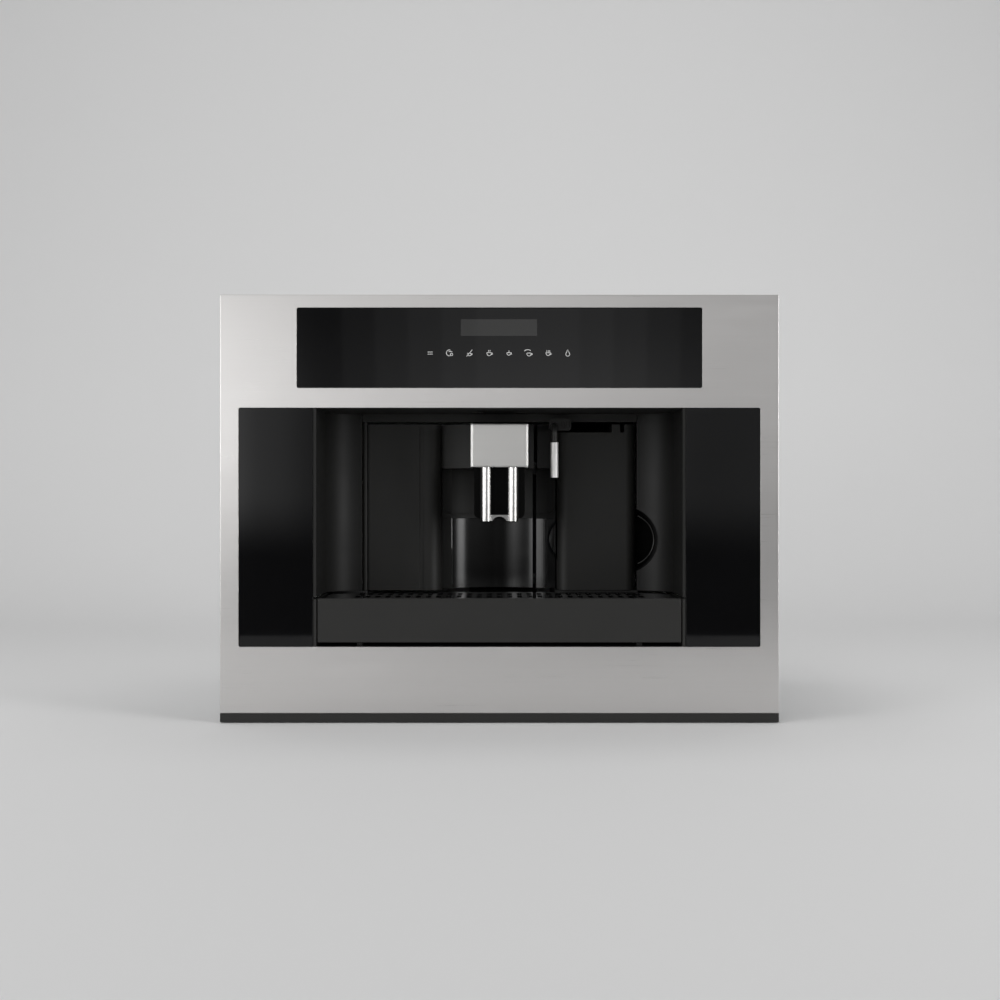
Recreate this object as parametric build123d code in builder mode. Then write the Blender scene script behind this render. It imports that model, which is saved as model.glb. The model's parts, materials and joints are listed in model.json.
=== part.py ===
from build123d import *
import os
from math import sqrt

# Built-in bean-to-cup coffee machine, 60 cm wide and 45 cm high.
# Millimetres. +Z is up and the front faces -Y. The origin is at the middle of the footprint.
# Depths are counted from the front glass towards the back.

os.makedirs("parts", exist_ok=True)

# ---------------------------------------------------------------- driving dimensions
# overall
front_w = 595.0            # width of the steel front
front_h = 455.0            # height of the front with the strip under it
sill_gap = 1.0             # the front hangs this far above the shelf
casing_w = 554.0           # width of the casing in its 560 mm niche
casing_z0 = 44.0           # underside of the base pan
casing_z1 = 447.0          # top of the top cover
casing_d = 388.0           # front glass to the rear sheet
rear_bulge = 10.0          # pressed bulge of the rear cover
casing_t = 1.0             # casing sheet
pan_t = 1.2                # base pan sheet

# steel front
frame_d = 20.0             # depth of the front's folded edges
frame_t = 1.2              # its sheet
trim_h = 9.5               # vent strip under it
glass_t = 4.0              # front glasses
glass_set = 0.6            # the glasses lie this far behind the steel face
glass_gap = 0.3            # joint round the glasses
control_w = 431.1
control_h = 85.0
control_z0 = 356.8
window_w = 555.3
window_h = 254.4
window_z0 = 81.1
corner_r = 2.0             # corners of both cut-outs

# recess
recess_half = 195.0        # half of the clear width
recess_t = 3.0             # moulding wall
recess_d = 110.0           # depth of the column fronts
cove_r = 38.0              # curved rear corners
lamp_x = 23.5
lamp_depth = 75.0
lamp_r = 6.0
header_h = 9.0             # band over the columns
grip_z = 191.7             # height of both grip recesses
finger_r = 38.5            # finger recess in the right wall
finger_x = recess_half - 53.3    # its middle
thumb_hole_r = 25.5        # matching cut-out left of the tank
thumb_hole_x = 84.0
finger_depth = 36.0

# service door
door_z0 = 134.4
door_h = 189.3
door_t = 3.0
door_gap = 4.0             # parting gap to the fixed side panel
hinge_x = 41.5 - recess_half
hinge_depth = 112.8
barrel_r = 2.8
pin_r = 1.2
pin_l = 9.0
fit = 0.05                 # radial play of pins and shafts
column_x0 = hinge_x + 4.5
column_x1 = -66.8
column_r = 14.8            # rounded corner beside the niche
groove_x = -91.0
groove_w = 4.6
niche_half = 66.8          # half of the niche between the columns
door_edge = 39.2           # free edge of the door
core_r = 79.0              # round core in the niche
core_depth = 128.0         # its front
niche_depth = 151.0        # flat back beside the core
shelf_z = 216.0            # collar between the two lengths of the core
shelf_h = 5.0
shelf_end_r = 10.0         # its ends sweep up to the niche's sides
cross_z0 = 273.7           # upper cross housing
cross_depth = 106.0        # its front in the middle
cross_side_depth = 124.0   # and at the columns

# coffee spout
cover_w = 63.4
cover_z0 = 273.4
cover_h = 47.0
cover_depth = 40.0
cover_t = 1.5
tube_r = 6.0
tube_pitch = 29.6
tube_z0 = 213.4
tube_depth = 52.0
spout_bore = 3.5
core_w = 56.0              # black carrier behind the tubes

# hot-water spout
hot_x = 61.8
hot_depth = 82.0
hot_r = 3.5
hot_z = 321.0              # middle of the plug
sleeve_r = 4.3
sleeve_z0 = 262.5
sleeve_z1 = 302.0

# drip tray
tray_z0 = 85.5
tray_front_h = 46.9
tray_gap = 1.0
tray_d = 255.0
tray_t = 2.5
grid_t = 4.0
grid_d = 104.0             # rear edge of the grid
slot_w = 5.5
slot_pitch = 11.0
rest = 0.3                 # a loose piece lies this far above its seat

# water tank
tank_x0 = 66.8
tank_x1 = recess_half - 39.5
tank_r = 11.0
tank_back = 290.0
tank_wall = 2.5
tank_z1 = 300.0            # rim of the clear tank
fascia_d = 40.0            # depth of the dark column in front of the tank
notch_x = 128.5
tab_slot_x = 140.3         # slot that frees the tab at the end of the notch
tab_slot_w = 5.0
notch_z = 314.6            # lowered top of that column beside the hot-water spout
thumb_r = 25.5
thumb_cut = 5.0
bay_gap = 1.0

# cradle and runners
cradle_t = 1.5
cradle_front = 26.0
cradle_d = 356.0
cradle_side_h = 38.0
shelf_hole_r = 2.75
shelf_hole_x = 440.0
shelf_hole_y = 280.0
runner_w = 12.7
runner_h = 35.0
runner_t = 1.5
runner_l = 340.0
runner_play = 0.5

# brewing and grinding
brew_x = 4.0               # middle of the brew unit
brew_w = 84.0
brew_depth0 = 176.0
brew_d = 110.0
brew_z0 = 137.0
brew_h = 140.0
brew_bore_r = 23.0
brew_travel = 40.0
screw_r = 5.0
grinder_r = 42.0
grinder_z0 = 283.0
grinder_h = 78.0
burr_r = 22.0
hopper_w = 180.0
hopper_l = 150.0
hopper_t = 2.5

# ---------------------------------------------------------------- derived places
total_d = casing_d + rear_bulge
front_y = -total_d / 2
frame_z0 = sill_gap + trim_h
frame_z1 = sill_gap + front_h
window_z1 = window_z0 + window_h
control_z1 = control_z0 + control_h
door_z1 = door_z0 + door_h
glass_back = glass_set + glass_t
lip_half = recess_half + recess_t
seam_half = recess_half - cove_r    # where the curved walls end
glass_x0 = lip_half + 2 * glass_gap
glass_x1 = window_w / 2 - glass_gap
core_middle = core_depth + core_r
grid_z1 = tray_z0 + tray_front_h
deck_z1 = grid_z1 - 1.0


def at(depth):
    """Y of a depth behind the front glass."""
    return front_y + depth


def front_plane(depth):
    """Upright plane that faces the user, local x to the right and local y up."""
    return Plane.XZ.offset(-at(depth))


def side_plane(x):
    """Upright plane across the machine, local x to the back and local y up."""
    return Plane.YZ.offset(x)


def area(x0, x1, y0, y1, r=0.0, mode=Mode.ADD):
    """Rectangle between limits in the sketch that is open."""
    with Locations(((x0 + x1) / 2, (y0 + y1) / 2)):
        if r > 0:
            RectangleRounded(x1 - x0, y1 - y0, r, mode=mode)
        else:
            Rectangle(x1 - x0, y1 - y0, mode=mode)


def core_front(x, r=core_r):
    """Depth of the round core's surface at x."""
    return core_middle - sqrt(r * r - x * x)


# ---------------------------------------------------------------- cradle and runners
cradle_half = casing_w / 2
cradle_back = cradle_front + cradle_d
cradle_mid_y = at(cradle_front + cradle_d / 2)
with BuildPart() as cradle:
    with BuildSketch(Plane.XZ.offset(-at(cradle_front))):
        area(-cradle_half, cradle_half, 0, cradle_side_h)
        area(-cradle_half + cradle_t, cradle_half - cradle_t, cradle_t, cradle_side_h, mode=Mode.SUBTRACT)
    extrude(amount=-cradle_d)
    fillet(cradle.edges().filter_by(Axis.Y).group_by(Axis.Z)[0], cradle_t)
    with BuildSketch(Plane.XY):
        with Locations((0, cradle_mid_y)):
            with GridLocations(shelf_hole_x, shelf_hole_y, 2, 2):
                Circle(shelf_hole_r)
            with GridLocations(150, shelf_hole_y / 2, 3, 2):
                RectangleRounded(56, 56, 12)
    extrude(amount=cradle_t, mode=Mode.SUBTRACT)
cradle.part.label = "cradle"
export_step(cradle.part, "parts/cradle.step")

runner_z0 = cradle_t + 0.8
runner_z1 = runner_z0 + runner_h
runner_x1 = cradle_half - cradle_t
runner_x0 = runner_x1 - runner_w
runner_front = cradle_front + 4.0
middle_x1 = runner_x1 - runner_t - runner_play
middle_z0 = runner_z0 + runner_t + runner_play
middle_z1 = runner_z1 - runner_t - runner_play
inner_x1 = middle_x1 - runner_t - runner_play
inner_x0 = runner_x0 - runner_t
inner_z0 = middle_z0 + runner_t + runner_play
inner_z1 = middle_z1 - runner_t - runner_play

for side, name in ((-1, "left_outer_runner"), (1, "right_outer_runner")):
    with BuildPart() as outer_runner:
        with BuildSketch(front_plane(runner_front)):
            area(runner_x0, runner_x1, runner_z0, runner_z1)
            area(runner_x0, runner_x1 - runner_t, runner_z0 + runner_t, runner_z1 - runner_t, mode=Mode.SUBTRACT)
            if side < 0:
                mirror(about=Plane.YZ, mode=Mode.REPLACE)
        extrude(amount=-runner_l)
    outer_runner.part.label = name
    export_step(outer_runner.part, f"parts/{name}.step")

for side, name in ((-1, "left_middle_runner"), (1, "right_middle_runner")):
    with BuildPart() as middle_runner:
        with BuildSketch(front_plane(runner_front + 2)):
            area(runner_x0 + runner_play, middle_x1, middle_z0, middle_z1)
            area(runner_x0 + runner_play, middle_x1 - runner_t, middle_z0 + runner_t, middle_z1 - runner_t,
                 mode=Mode.SUBTRACT)
            if side < 0:
                mirror(about=Plane.YZ, mode=Mode.REPLACE)
        extrude(amount=-(runner_l - 4))
    middle_runner.part.label = name
    export_step(middle_runner.part, f"parts/{name}.step")

for side, name in ((-1, "left_inner_runner"), (1, "right_inner_runner")):
    with BuildPart() as inner_runner:
        with BuildSketch(front_plane(runner_front)):
            area(inner_x0, inner_x1, inner_z0, inner_z1)
            area(inner_x0 + runner_t, inner_x1, inner_z0 + runner_t, inner_z1 - runner_t, mode=Mode.SUBTRACT)
            if side < 0:
                mirror(about=Plane.YZ, mode=Mode.REPLACE)
        extrude(amount=-(runner_l - 8))
    inner_runner.part.label = name
    export_step(inner_runner.part, f"parts/{name}.step")

# ---------------------------------------------------------------- casing
case_half = casing_w / 2
case_front = frame_d
pan_half = case_half - casing_t
with BuildPart() as base_pan:
    with BuildSketch(Plane.XY.offset(casing_z0)):
        area(-pan_half, pan_half, at(case_front), at(casing_d - casing_t))
    extrude(amount=pan_t)
    with BuildSketch(front_plane(runner_front)):
        for side in (-1, 1):
            area(*sorted((side * (inner_x0 - pan_t), side * inner_x0)), inner_z0, casing_z0)
    extrude(amount=-(runner_l - 8))
    with BuildSketch(Plane.XY.offset(casing_z0)):
        with GridLocations(120, 160, 3, 2):
            SlotOverall(60, 9)
    extrude(amount=pan_t, mode=Mode.SUBTRACT)
base_pan.part.label = "base_pan"
export_step(base_pan.part, "parts/base_pan.step")

for side, name in ((-1, "left_side_panel"), (1, "right_side_panel")):
    with BuildPart() as side_panel:
        with BuildSketch(side_plane(side * pan_half)):
            area(at(case_front), at(casing_d), casing_z0, casing_z1 - casing_t)
        extrude(amount=side * casing_t)
        with BuildSketch(side_plane(side * pan_half)):
            with Locations((at(casing_d * 0.62), casing_z0 + 60)):
                with GridLocations(14, 0, 9, 1):
                    SlotOverall(44, 5, rotation=90)
        extrude(amount=side * casing_t, mode=Mode.SUBTRACT)
    side_panel.part.label = name
    export_step(side_panel.part, f"parts/{name}.step")

# the bean hopper hangs in an opening of the top cover
hopper_x = brew_x
hopper_y = at(brew_depth0 + brew_d / 2)
lid_w = hopper_w + 20
lid_l = hopper_l + 16
knob_x = hopper_x + lid_w / 2 + 34
with BuildPart() as top_cover:
    with BuildSketch(Plane.XY.offset(casing_z1 - casing_t)):
        area(-case_half, case_half, at(case_front), at(casing_d))
    extrude(amount=casing_t)
    with BuildSketch(Plane.XY.offset(casing_z1 - casing_t)):
        with Locations((hopper_x, hopper_y)):
            RectangleRounded(hopper_w, hopper_l, 14)
        with Locations((knob_x, hopper_y)):
            Circle(9)
        with Locations((-case_half + 90, hopper_y)):
            with GridLocations(12, 0, 8, 1):
                SlotOverall(90, 4, rotation=90)
    extrude(amount=casing_t, mode=Mode.SUBTRACT)
top_cover.part.label = "top_cover"
export_step(top_cover.part, "parts/top_cover.step")

inlet_x = -196.0
inlet_z = 72.0
inlet_w = 28.0
inlet_h = 48.0
bulge_w = 400.0
bulge_h = 240.0
bulge_z = casing_z0 + 90
with BuildPart() as rear_cover:
    with BuildSketch(front_plane(casing_d)):
        area(-pan_half, pan_half, casing_z0 + pan_t, casing_z1 - casing_t)
    extrude(amount=casing_t)
    with BuildSketch(front_plane(casing_d)):
        area(-bulge_w / 2, bulge_w / 2, bulge_z, bulge_z + bulge_h, 16)
    extrude(amount=-rear_bulge, taper=35)
    with BuildSketch(front_plane(casing_d - casing_t)):
        area(-bulge_w / 2 + casing_t, bulge_w / 2 - casing_t, bulge_z + casing_t,
             bulge_z + bulge_h - casing_t, 15)
    extrude(amount=-rear_bulge, taper=35, mode=Mode.SUBTRACT)
    with BuildSketch(front_plane(casing_d - casing_t)):
        with Locations((0, bulge_z + bulge_h / 2)):
            with GridLocations(18, 60, 12, 3):
                SlotOverall(44, 6, rotation=90)
    extrude(amount=-rear_bulge - casing_t, mode=Mode.SUBTRACT)
    with BuildSketch(front_plane(casing_d - casing_t)):
        with Locations((inlet_x, inlet_z)):
            Rectangle(inlet_w, inlet_h)
    extrude(amount=-casing_t, mode=Mode.SUBTRACT)
rear_cover.part.label = "rear_cover"
export_step(rear_cover.part, "parts/rear_cover.step")

# ---------------------------------------------------------------- front
frame_half = front_w / 2
with BuildPart() as front_frame:
    with BuildSketch(front_plane(0)):
        area(-frame_half, frame_half, frame_z0, frame_z1)
    extrude(amount=-frame_d)
    offset(amount=-frame_t, openings=front_frame.faces().sort_by(Axis.Y)[-1])
    fillet(front_frame.faces().sort_by(Axis.Y)[0].edges(), frame_t * 0.7)
    with BuildSketch(front_plane(0)):
        area(-control_w / 2 - glass_gap, control_w / 2 + glass_gap, control_z0 - glass_gap,
             control_z1 + glass_gap, corner_r)
        area(-window_w / 2, window_w / 2, window_z0, window_z1, corner_r)
    extrude(amount=-frame_t, mode=Mode.SUBTRACT)
front_frame.part.label = "front_frame"
export_step(front_frame.part, "parts/front_frame.step")

trim_set = 1.5             # the strip lies behind the steel face
trim_gap = 0.3
with BuildPart() as bottom_trim:
    with BuildSketch(side_plane(-frame_half)):
        with BuildLine():
            Polyline(
                (at(trim_set), sill_gap),
                (at(frame_d), sill_gap),
                (at(frame_d), sill_gap + 2),
                (at(trim_set + 2), sill_gap + 2),
                (at(trim_set + 2), frame_z0 - trim_gap - 2),
                (at(frame_d), frame_z0 - trim_gap - 2),
                (at(frame_d), frame_z0 - trim_gap),
                (at(trim_set), frame_z0 - trim_gap),
                close=True,
            )
        make_face()
    extrude(amount=front_w)
    # air slots on the underside
    with BuildSketch(Plane.XY.offset(sill_gap)):
        with Locations((0, at((trim_set + frame_d) / 2 + 1))):
            with GridLocations(22, 0, 24, 1):
                SlotOverall(16, 5)
    extrude(amount=2, mode=Mode.SUBTRACT)
bottom_trim.part.label = "bottom_trim"
export_step(bottom_trim.part, "parts/bottom_trim.step")

# moulding behind the steel that carries the glasses
carrier_gap = 0.4
carrier_half = frame_half - frame_t - carrier_gap
carrier_z0 = frame_z0 + frame_t + carrier_gap
carrier_z1 = frame_z1 - frame_t - carrier_gap
carrier_t = 3.0
board_half = control_w / 2 - 12
with BuildPart() as front_carrier:
    with BuildSketch(front_plane(glass_back)):
        area(-carrier_half, carrier_half, carrier_z0, carrier_z1)
    extrude(amount=-(frame_d - glass_back))
    with BuildSketch(front_plane(glass_back + carrier_t)):
        area(-carrier_half + 2, carrier_half - 2, carrier_z0 + 2, carrier_z1 - 2)
    extrude(amount=-frame_d, mode=Mode.SUBTRACT)
    with BuildSketch(front_plane(glass_back)):
        area(-lip_half - glass_gap, lip_half + glass_gap, window_z0 - 4, window_z1 + 4)
        area(-board_half, board_half, control_z0 + 8, control_z1 - 8)
    extrude(amount=-carrier_t, mode=Mode.SUBTRACT)
    # seat of the frame's face round the glasses
    with BuildSketch(front_plane(frame_t)):
        area(-carrier_half, carrier_half, carrier_z0, carrier_z1)
        area(-window_w / 2 - 2, window_w / 2 + 2, window_z0 - 4, window_z1 + 4, mode=Mode.SUBTRACT)
        area(-control_w / 2 - 2, control_w / 2 + 2, control_z0 - 2, control_z1 + 2, mode=Mode.SUBTRACT)
        area(-carrier_half + 3, -window_w / 2 - 5, carrier_z0 + 3, carrier_z1 - 3, mode=Mode.SUBTRACT)
        area(window_w / 2 + 5, carrier_half - 3, carrier_z0 + 3, carrier_z1 - 3, mode=Mode.SUBTRACT)
        area(-window_w / 2, window_w / 2, carrier_z0 + 3, window_z0 - 5, mode=Mode.SUBTRACT)
    extrude(amount=-(glass_back - frame_t))
front_carrier.part.label = "front_carrier"
export_step(front_carrier.part, "parts/front_carrier.step")

with BuildPart() as control_glass:
    with BuildSketch(front_plane(glass_set)):
        area(-control_w / 2, control_w / 2, control_z0, control_z1, corner_r)
    extrude(amount=-glass_t)
    chamfer(control_glass.faces().sort_by(Axis.Y)[0].edges(), 0.4)
control_glass.part.label = "control_glass"
export_step(control_glass.part, "parts/control_glass.step")

for side, name in ((-1, "left_glass_panel"), (1, "right_glass_panel")):
    with BuildPart() as glass_panel:
        with BuildSketch(front_plane(glass_set)):
            area(*sorted((side * glass_x0, side * glass_x1)), window_z0 + glass_gap, window_z1 - glass_gap, 1)
        extrude(amount=-glass_t)
        chamfer(glass_panel.faces().sort_by(Axis.Y)[0].edges(), 0.4)
    glass_panel.part.label = name
    export_step(glass_panel.part, f"parts/{name}.step")

display_w = 81.0
display_h = 18.2
display_x = -0.5
display_z = 420.6
board_depth = glass_back + 14
with BuildPart() as display_module:
    with BuildSketch(front_plane(glass_back)):
        with Locations((display_x, display_z)):
            Rectangle(display_w + 8, display_h + 8)
    extrude(amount=-(board_depth - glass_back))
    with BuildSketch(front_plane(glass_back)):
        with Locations((display_x, display_z)):
            Rectangle(display_w, display_h)
    extrude(amount=-1.2, mode=Mode.SUBTRACT)
display_module.part.label = "display_module"
export_step(display_module.part, "parts/display_module.step")

symbol_pitch = 20.9
symbol_z = 393.7
with BuildPart() as control_board:
    with BuildSketch(front_plane(board_depth)):
        area(-board_half + 10, board_half - 10, control_z0 + 10, control_z1 - 10, 3)
    extrude(amount=-1.6)
    with BuildSketch(front_plane(board_depth)):
        with Locations((display_x, symbol_z)):
            with GridLocations(symbol_pitch, 0, 8, 1):
                Circle(5.5)
                Circle(4.3, mode=Mode.SUBTRACT)
    extrude(amount=board_depth - glass_back)
    with BuildSketch(front_plane(board_depth + 1.6)):
        with Locations((-60, symbol_z), (60, symbol_z)):
            Rectangle(26, 14)
    extrude(amount=-8)
control_board.part.label = "control_board"
export_step(control_board.part, "parts/control_board.step")

# ---------------------------------------------------------------- recess
bay_z0 = window_z0 - recess_t
bay_wall_z1 = grid_z1 - 0.5
bay_d = tray_d + 8
wall_z0 = bay_wall_z1 + 2.0
cove_y = recess_d - cove_r


def cove_outline(side):
    """Plan of a recess wall: straight to the back, then round to face the user."""
    inner = side * recess_half
    outer = side * lip_half
    turn = side * seam_half
    mid = sqrt(0.5)
    with BuildLine() as outline:
        Line((turn, at(recess_d + recess_t)), (turn, at(recess_d)))
        ThreePointArc((turn, at(recess_d)), (turn + side * cove_r * mid, at(cove_y + cove_r * mid)),
                      (inner, at(cove_y)))
        Polyline((inner, at(cove_y)), (inner, at(glass_set)), (outer, at(glass_set)), (outer, at(cove_y)))
        ThreePointArc((outer, at(cove_y)),
                      (turn + side * (cove_r + recess_t) * mid, at(cove_y + (cove_r + recess_t) * mid)),
                      (turn, at(recess_d + recess_t)))
    return outline.line.edges()


with BuildPart() as left_recess_wall:
    with BuildSketch(Plane.XY.offset(wall_z0)):
        make_face(cove_outline(-1))
    extrude(amount=window_z1 - wall_z0)
left_recess_wall.part.label = "left_recess_wall"
export_step(left_recess_wall.part, "parts/left_recess_wall.step")

# the right wall has a round pocket for the fingers beside the water tank
pocket_d0 = cove_y
pocket_d1 = recess_d + finger_depth
with BuildPart() as right_recess_wall:
    with BuildSketch(Plane.XY.offset(wall_z0)):
        make_face(cove_outline(1))
    extrude(amount=window_z1 - wall_z0)
    with BuildSketch(front_plane(recess_d)):
        with Locations((finger_x, grip_z)):
            Circle(finger_r + recess_t)
        area(finger_x - 2 * finger_r, seam_half, grip_z - 2 * finger_r, grip_z + 2 * finger_r, mode=Mode.SUBTRACT)
    extrude(amount=-(finger_depth + recess_t))
    with BuildSketch(front_plane(pocket_d0)):
        with Locations((finger_x, grip_z)):
            Circle(finger_r)
    extrude(amount=-(pocket_d1 - pocket_d0), mode=Mode.SUBTRACT)
right_recess_wall.part.label = "right_recess_wall"
export_step(right_recess_wall.part, "parts/right_recess_wall.step")

with BuildPart() as recess_ceiling:
    with BuildSketch(Plane.XY.offset(window_z1)):
        area(-lip_half, lip_half, at(frame_t), at(recess_d + recess_t))
        with Locations((-lamp_x, at(lamp_depth)), (lamp_x, at(lamp_depth))):
            Circle(lamp_r, mode=Mode.SUBTRACT)
    extrude(amount=recess_t)
    with BuildSketch(front_plane(recess_d)):
        area(-seam_half + glass_gap, seam_half - glass_gap, window_z1 - header_h, window_z1)
    extrude(amount=-recess_t)
    with BuildSketch(Plane.XY.offset(window_z1 + recess_t)):
        with Locations((-lamp_x, at(lamp_depth)), (lamp_x, at(lamp_depth))):
            Circle(lamp_r + 2)
            Circle(lamp_r, mode=Mode.SUBTRACT)
    extrude(amount=4)
recess_ceiling.part.label = "recess_ceiling"
export_step(recess_ceiling.part, "parts/recess_ceiling.step")

with BuildPart() as lamp_lenses:
    with BuildSketch(Plane.XY.offset(window_z1 - 0.6)):
        with Locations((-lamp_x, at(lamp_depth)), (lamp_x, at(lamp_depth))):
            Circle(lamp_r - rest)
    extrude(amount=recess_t + 0.6)
    fillet(lamp_lenses.faces().group_by(Axis.Z)[0].edges(), 0.5)
lamp_lenses.part.label = "lamp_lenses"
export_step(lamp_lenses.part, "parts/lamp_lenses.step")

# trough that the drip tray slides into
rail_w = 6.0
rail_x = recess_half - 45.0
with BuildPart() as tray_bay:
    with BuildSketch(front_plane(frame_t)):
        area(-lip_half, lip_half, bay_z0, bay_wall_z1)
        area(-recess_half, recess_half, window_z0, bay_wall_z1, mode=Mode.SUBTRACT)
    extrude(amount=-(bay_d - frame_t))
    with BuildSketch(front_plane(frame_t + 12)):
        for side in (-1, 1):
            area(side * rail_x - rail_w / 2, side * rail_x + rail_w / 2, window_z0, tray_z0 - rest)
    extrude(amount=-(bay_d - 12 - frame_t))
    with BuildSketch(front_plane(bay_d - recess_t)):
        area(-recess_half, recess_half, window_z0, bay_wall_z1)
    extrude(amount=-recess_t)
    # posts down to the base pan
    with BuildSketch(Plane.XY.offset(casing_z0 + pan_t)):
        with Locations((0, at(bay_d / 2))):
            with GridLocations(2 * rail_x, bay_d - 60, 2, 2):
                Circle(7)
                Circle(3.5, mode=Mode.SUBTRACT)
    extrude(amount=bay_z0 - casing_z0 - pan_t)
tray_bay.part.label = "tray_bay"
export_step(tray_bay.part, "parts/tray_bay.step")

# ---------------------------------------------------------------- water tank bay
bay_x0 = tank_x0 - 2.8
bay_x1 = tank_x1 + bay_gap + 2.0
bay_floor_z0 = bay_wall_z1
bay_floor_z1 = bay_floor_z0 + 2.0
bay_top = window_z1
coupling_x = (tank_x0 + tank_x1) / 2
coupling_z = bay_floor_z1 + 14
spigot_r = 5.0
with BuildPart() as tank_bay:
    with BuildSketch(Plane.XY.offset(bay_floor_z0)):
        area(bay_x0, bay_x1, at(recess_d + recess_t), at(tank_back + bay_gap + 2))
    extrude(amount=bay_top - bay_floor_z0)
    with BuildSketch(Plane.XY.offset(bay_floor_z1)):
        area(bay_x0 + 1.8, bay_x1 - 2, at(recess_d), at(tank_back + bay_gap))
        area(bay_x0 - 1, bay_x1 - 3, at(recess_d), at(niche_depth + door_t))
        area(bay_x0 + 3, bay_x1 + 1, at(recess_d), at(pocket_d1 + recess_t + 1))
    extrude(amount=bay_top, mode=Mode.SUBTRACT)
    # water coupling behind the tank
    with BuildSketch(front_plane(tank_back + bay_gap + 2)):
        with Locations((coupling_x, coupling_z)):
            Circle(spigot_r + 4)
    extrude(amount=-14)
    with BuildSketch(front_plane(tank_back + bay_gap)):
        with Locations((coupling_x, coupling_z)):
            Circle(spigot_r + rest)
    extrude(amount=-12, mode=Mode.SUBTRACT)
tank_bay.part.label = "tank_bay"
export_step(tank_bay.part, "parts/tank_bay.step")

# ---------------------------------------------------------------- fixed slice between door and tank
panel_t = 2.5
slice_x0 = door_edge + door_gap
slice_x1 = tank_x0 - 1.3
core_edge = sqrt(core_r * core_r - (core_middle - niche_depth) ** 2)
cross_sag = cross_side_depth - cross_depth
cross_r = (niche_half ** 2 + cross_sag ** 2) / (2 * cross_sag)


def cross_front(x):
    """Depth of the bowed front of the upper cross housing."""
    return cross_depth + cross_r - sqrt(cross_r ** 2 - x * x)


def niche_outline(x0, x1):
    """Plan of the niche's rear wall between x0 and x1: flat, then round over the core."""
    left = max(x0, -core_edge)
    right = min(x1, core_edge)
    mid = (left + right) / 2
    inner_r = core_r - panel_t
    inner_left = left if left > -core_edge else -sqrt(inner_r ** 2 - (core_middle - niche_depth - panel_t) ** 2)
    inner_right = right if right < core_edge else sqrt(inner_r ** 2 - (core_middle - niche_depth - panel_t) ** 2)
    inner_mid = (inner_left + inner_right) / 2
    back = at(niche_depth + panel_t)
    with BuildLine() as outline:
        ThreePointArc((left, at(core_front(left))), (mid, at(core_front(mid))), (right, at(core_front(right))))
        if x1 > core_edge:
            Polyline((right, at(niche_depth)), (x1, at(niche_depth)), (x1, back), (inner_right, back))
        else:
            Line((right, at(core_front(right))), (inner_right, at(core_front(inner_right, inner_r))))
        ThreePointArc((inner_right, at(core_front(inner_right, inner_r))),
                      (inner_mid, at(core_front(inner_mid, inner_r))),
                      (inner_left, at(core_front(inner_left, inner_r))))
        if x0 < -core_edge:
            Polyline((inner_left, back), (x0, back), (x0, at(niche_depth)), (left, at(niche_depth)))
        else:
            Line((inner_left, at(core_front(inner_left, inner_r))), (left, at(core_front(left))))
    return outline.line.edges()


def cross_outline(x0, x1, inset, depth_back):
    """Plan of the cross housing between x0 and x1, bowed to the front."""
    mid = (x0 + x1) / 2
    with BuildLine() as outline:
        ThreePointArc((x0, at(cross_front(x0) + inset)), (mid, at(cross_front(mid) + inset)),
                      (x1, at(cross_front(x1) + inset)))
        Polyline((x1, at(cross_front(x1) + inset)), (x1, at(depth_back)), (x0, at(depth_back)),
                 (x0, at(cross_front(x0) + inset)))
    return outline.line.edges()


def shelf_outline(x0, x1):
    """Plan of the collar: it stands 4 mm proud of the core and fills the niche's corners."""
    proud = core_r + 4
    left = max(x0, -core_edge)
    right = min(x1, core_edge)
    mid = (left + right) / 2
    left_y = at(core_front(left, proud))
    right_y = at(core_front(right, proud))
    back = at(niche_depth)
    path = [(right, right_y)]
    if x1 > right:
        path.append((x1, right_y))
    path += [(x1, back), (x0, back)]
    if x0 < left:
        path.append((x0, left_y))
    path.append((left, left_y))
    with BuildLine() as outline:
        ThreePointArc((left, left_y), (mid, at(core_front(mid, proud))), (right, right_y))
        Polyline(*path)
    return outline.line.edges()


def shelf_end_outline(x, turn):
    """Front view of the collar's end, swept up to a side of the niche at x; turn points into the niche."""
    z = shelf_z + shelf_h
    near = shelf_end_r * (1 - sqrt(0.5))
    with BuildLine() as outline:
        ThreePointArc((x, z + shelf_end_r), (x + turn * near, z + near), (x + turn * shelf_end_r, z))
        Polyline((x + turn * shelf_end_r, z), (x, z), (x, z + shelf_end_r))
    return outline.line.edges()


shelf_end_depth = core_front(core_edge, core_r + 4)


with BuildPart() as niche_side_panel:
    with BuildSketch(Plane.XY.offset(door_z0)):
        make_face(niche_outline(slice_x0, slice_x1))
    extrude(amount=cross_z0 - door_z0)
    with BuildSketch(Plane.XY.offset(shelf_z)):
        make_face(shelf_outline(slice_x0, slice_x1))
        with Locations((0, at(core_middle))):
            Circle(core_r - panel_t, mode=Mode.SUBTRACT)
    extrude(amount=shelf_h)
    with BuildSketch(front_plane(shelf_end_depth)):
        make_face(shelf_end_outline(slice_x1, -1))
    extrude(amount=-(niche_depth + panel_t - shelf_end_depth))
    with BuildSketch(Plane.XY.offset(cross_z0)):
        make_face(cross_outline(slice_x0, slice_x1, 0, niche_depth + panel_t))
    extrude(amount=door_z1 - cross_z0)
    # dished cut-out for the thumb that pulls the tank
    with BuildSketch(front_plane(niche_depth)):
        with Locations((thumb_hole_x, grip_z)):
            Circle(thumb_hole_r + panel_t)
    extrude(amount=-panel_t, taper=45, mode=Mode.SUBTRACT)
    # socket of the hot-water spout
    with BuildSketch(front_plane(cross_depth)):
        with Locations((hot_x, hot_z)):
            Circle(hot_r + rest)
    extrude(amount=-(cross_side_depth - cross_depth + 16), mode=Mode.SUBTRACT)
niche_side_panel.part.label = "niche_side_panel"
export_step(niche_side_panel.part, "parts/niche_side_panel.step")

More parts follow.
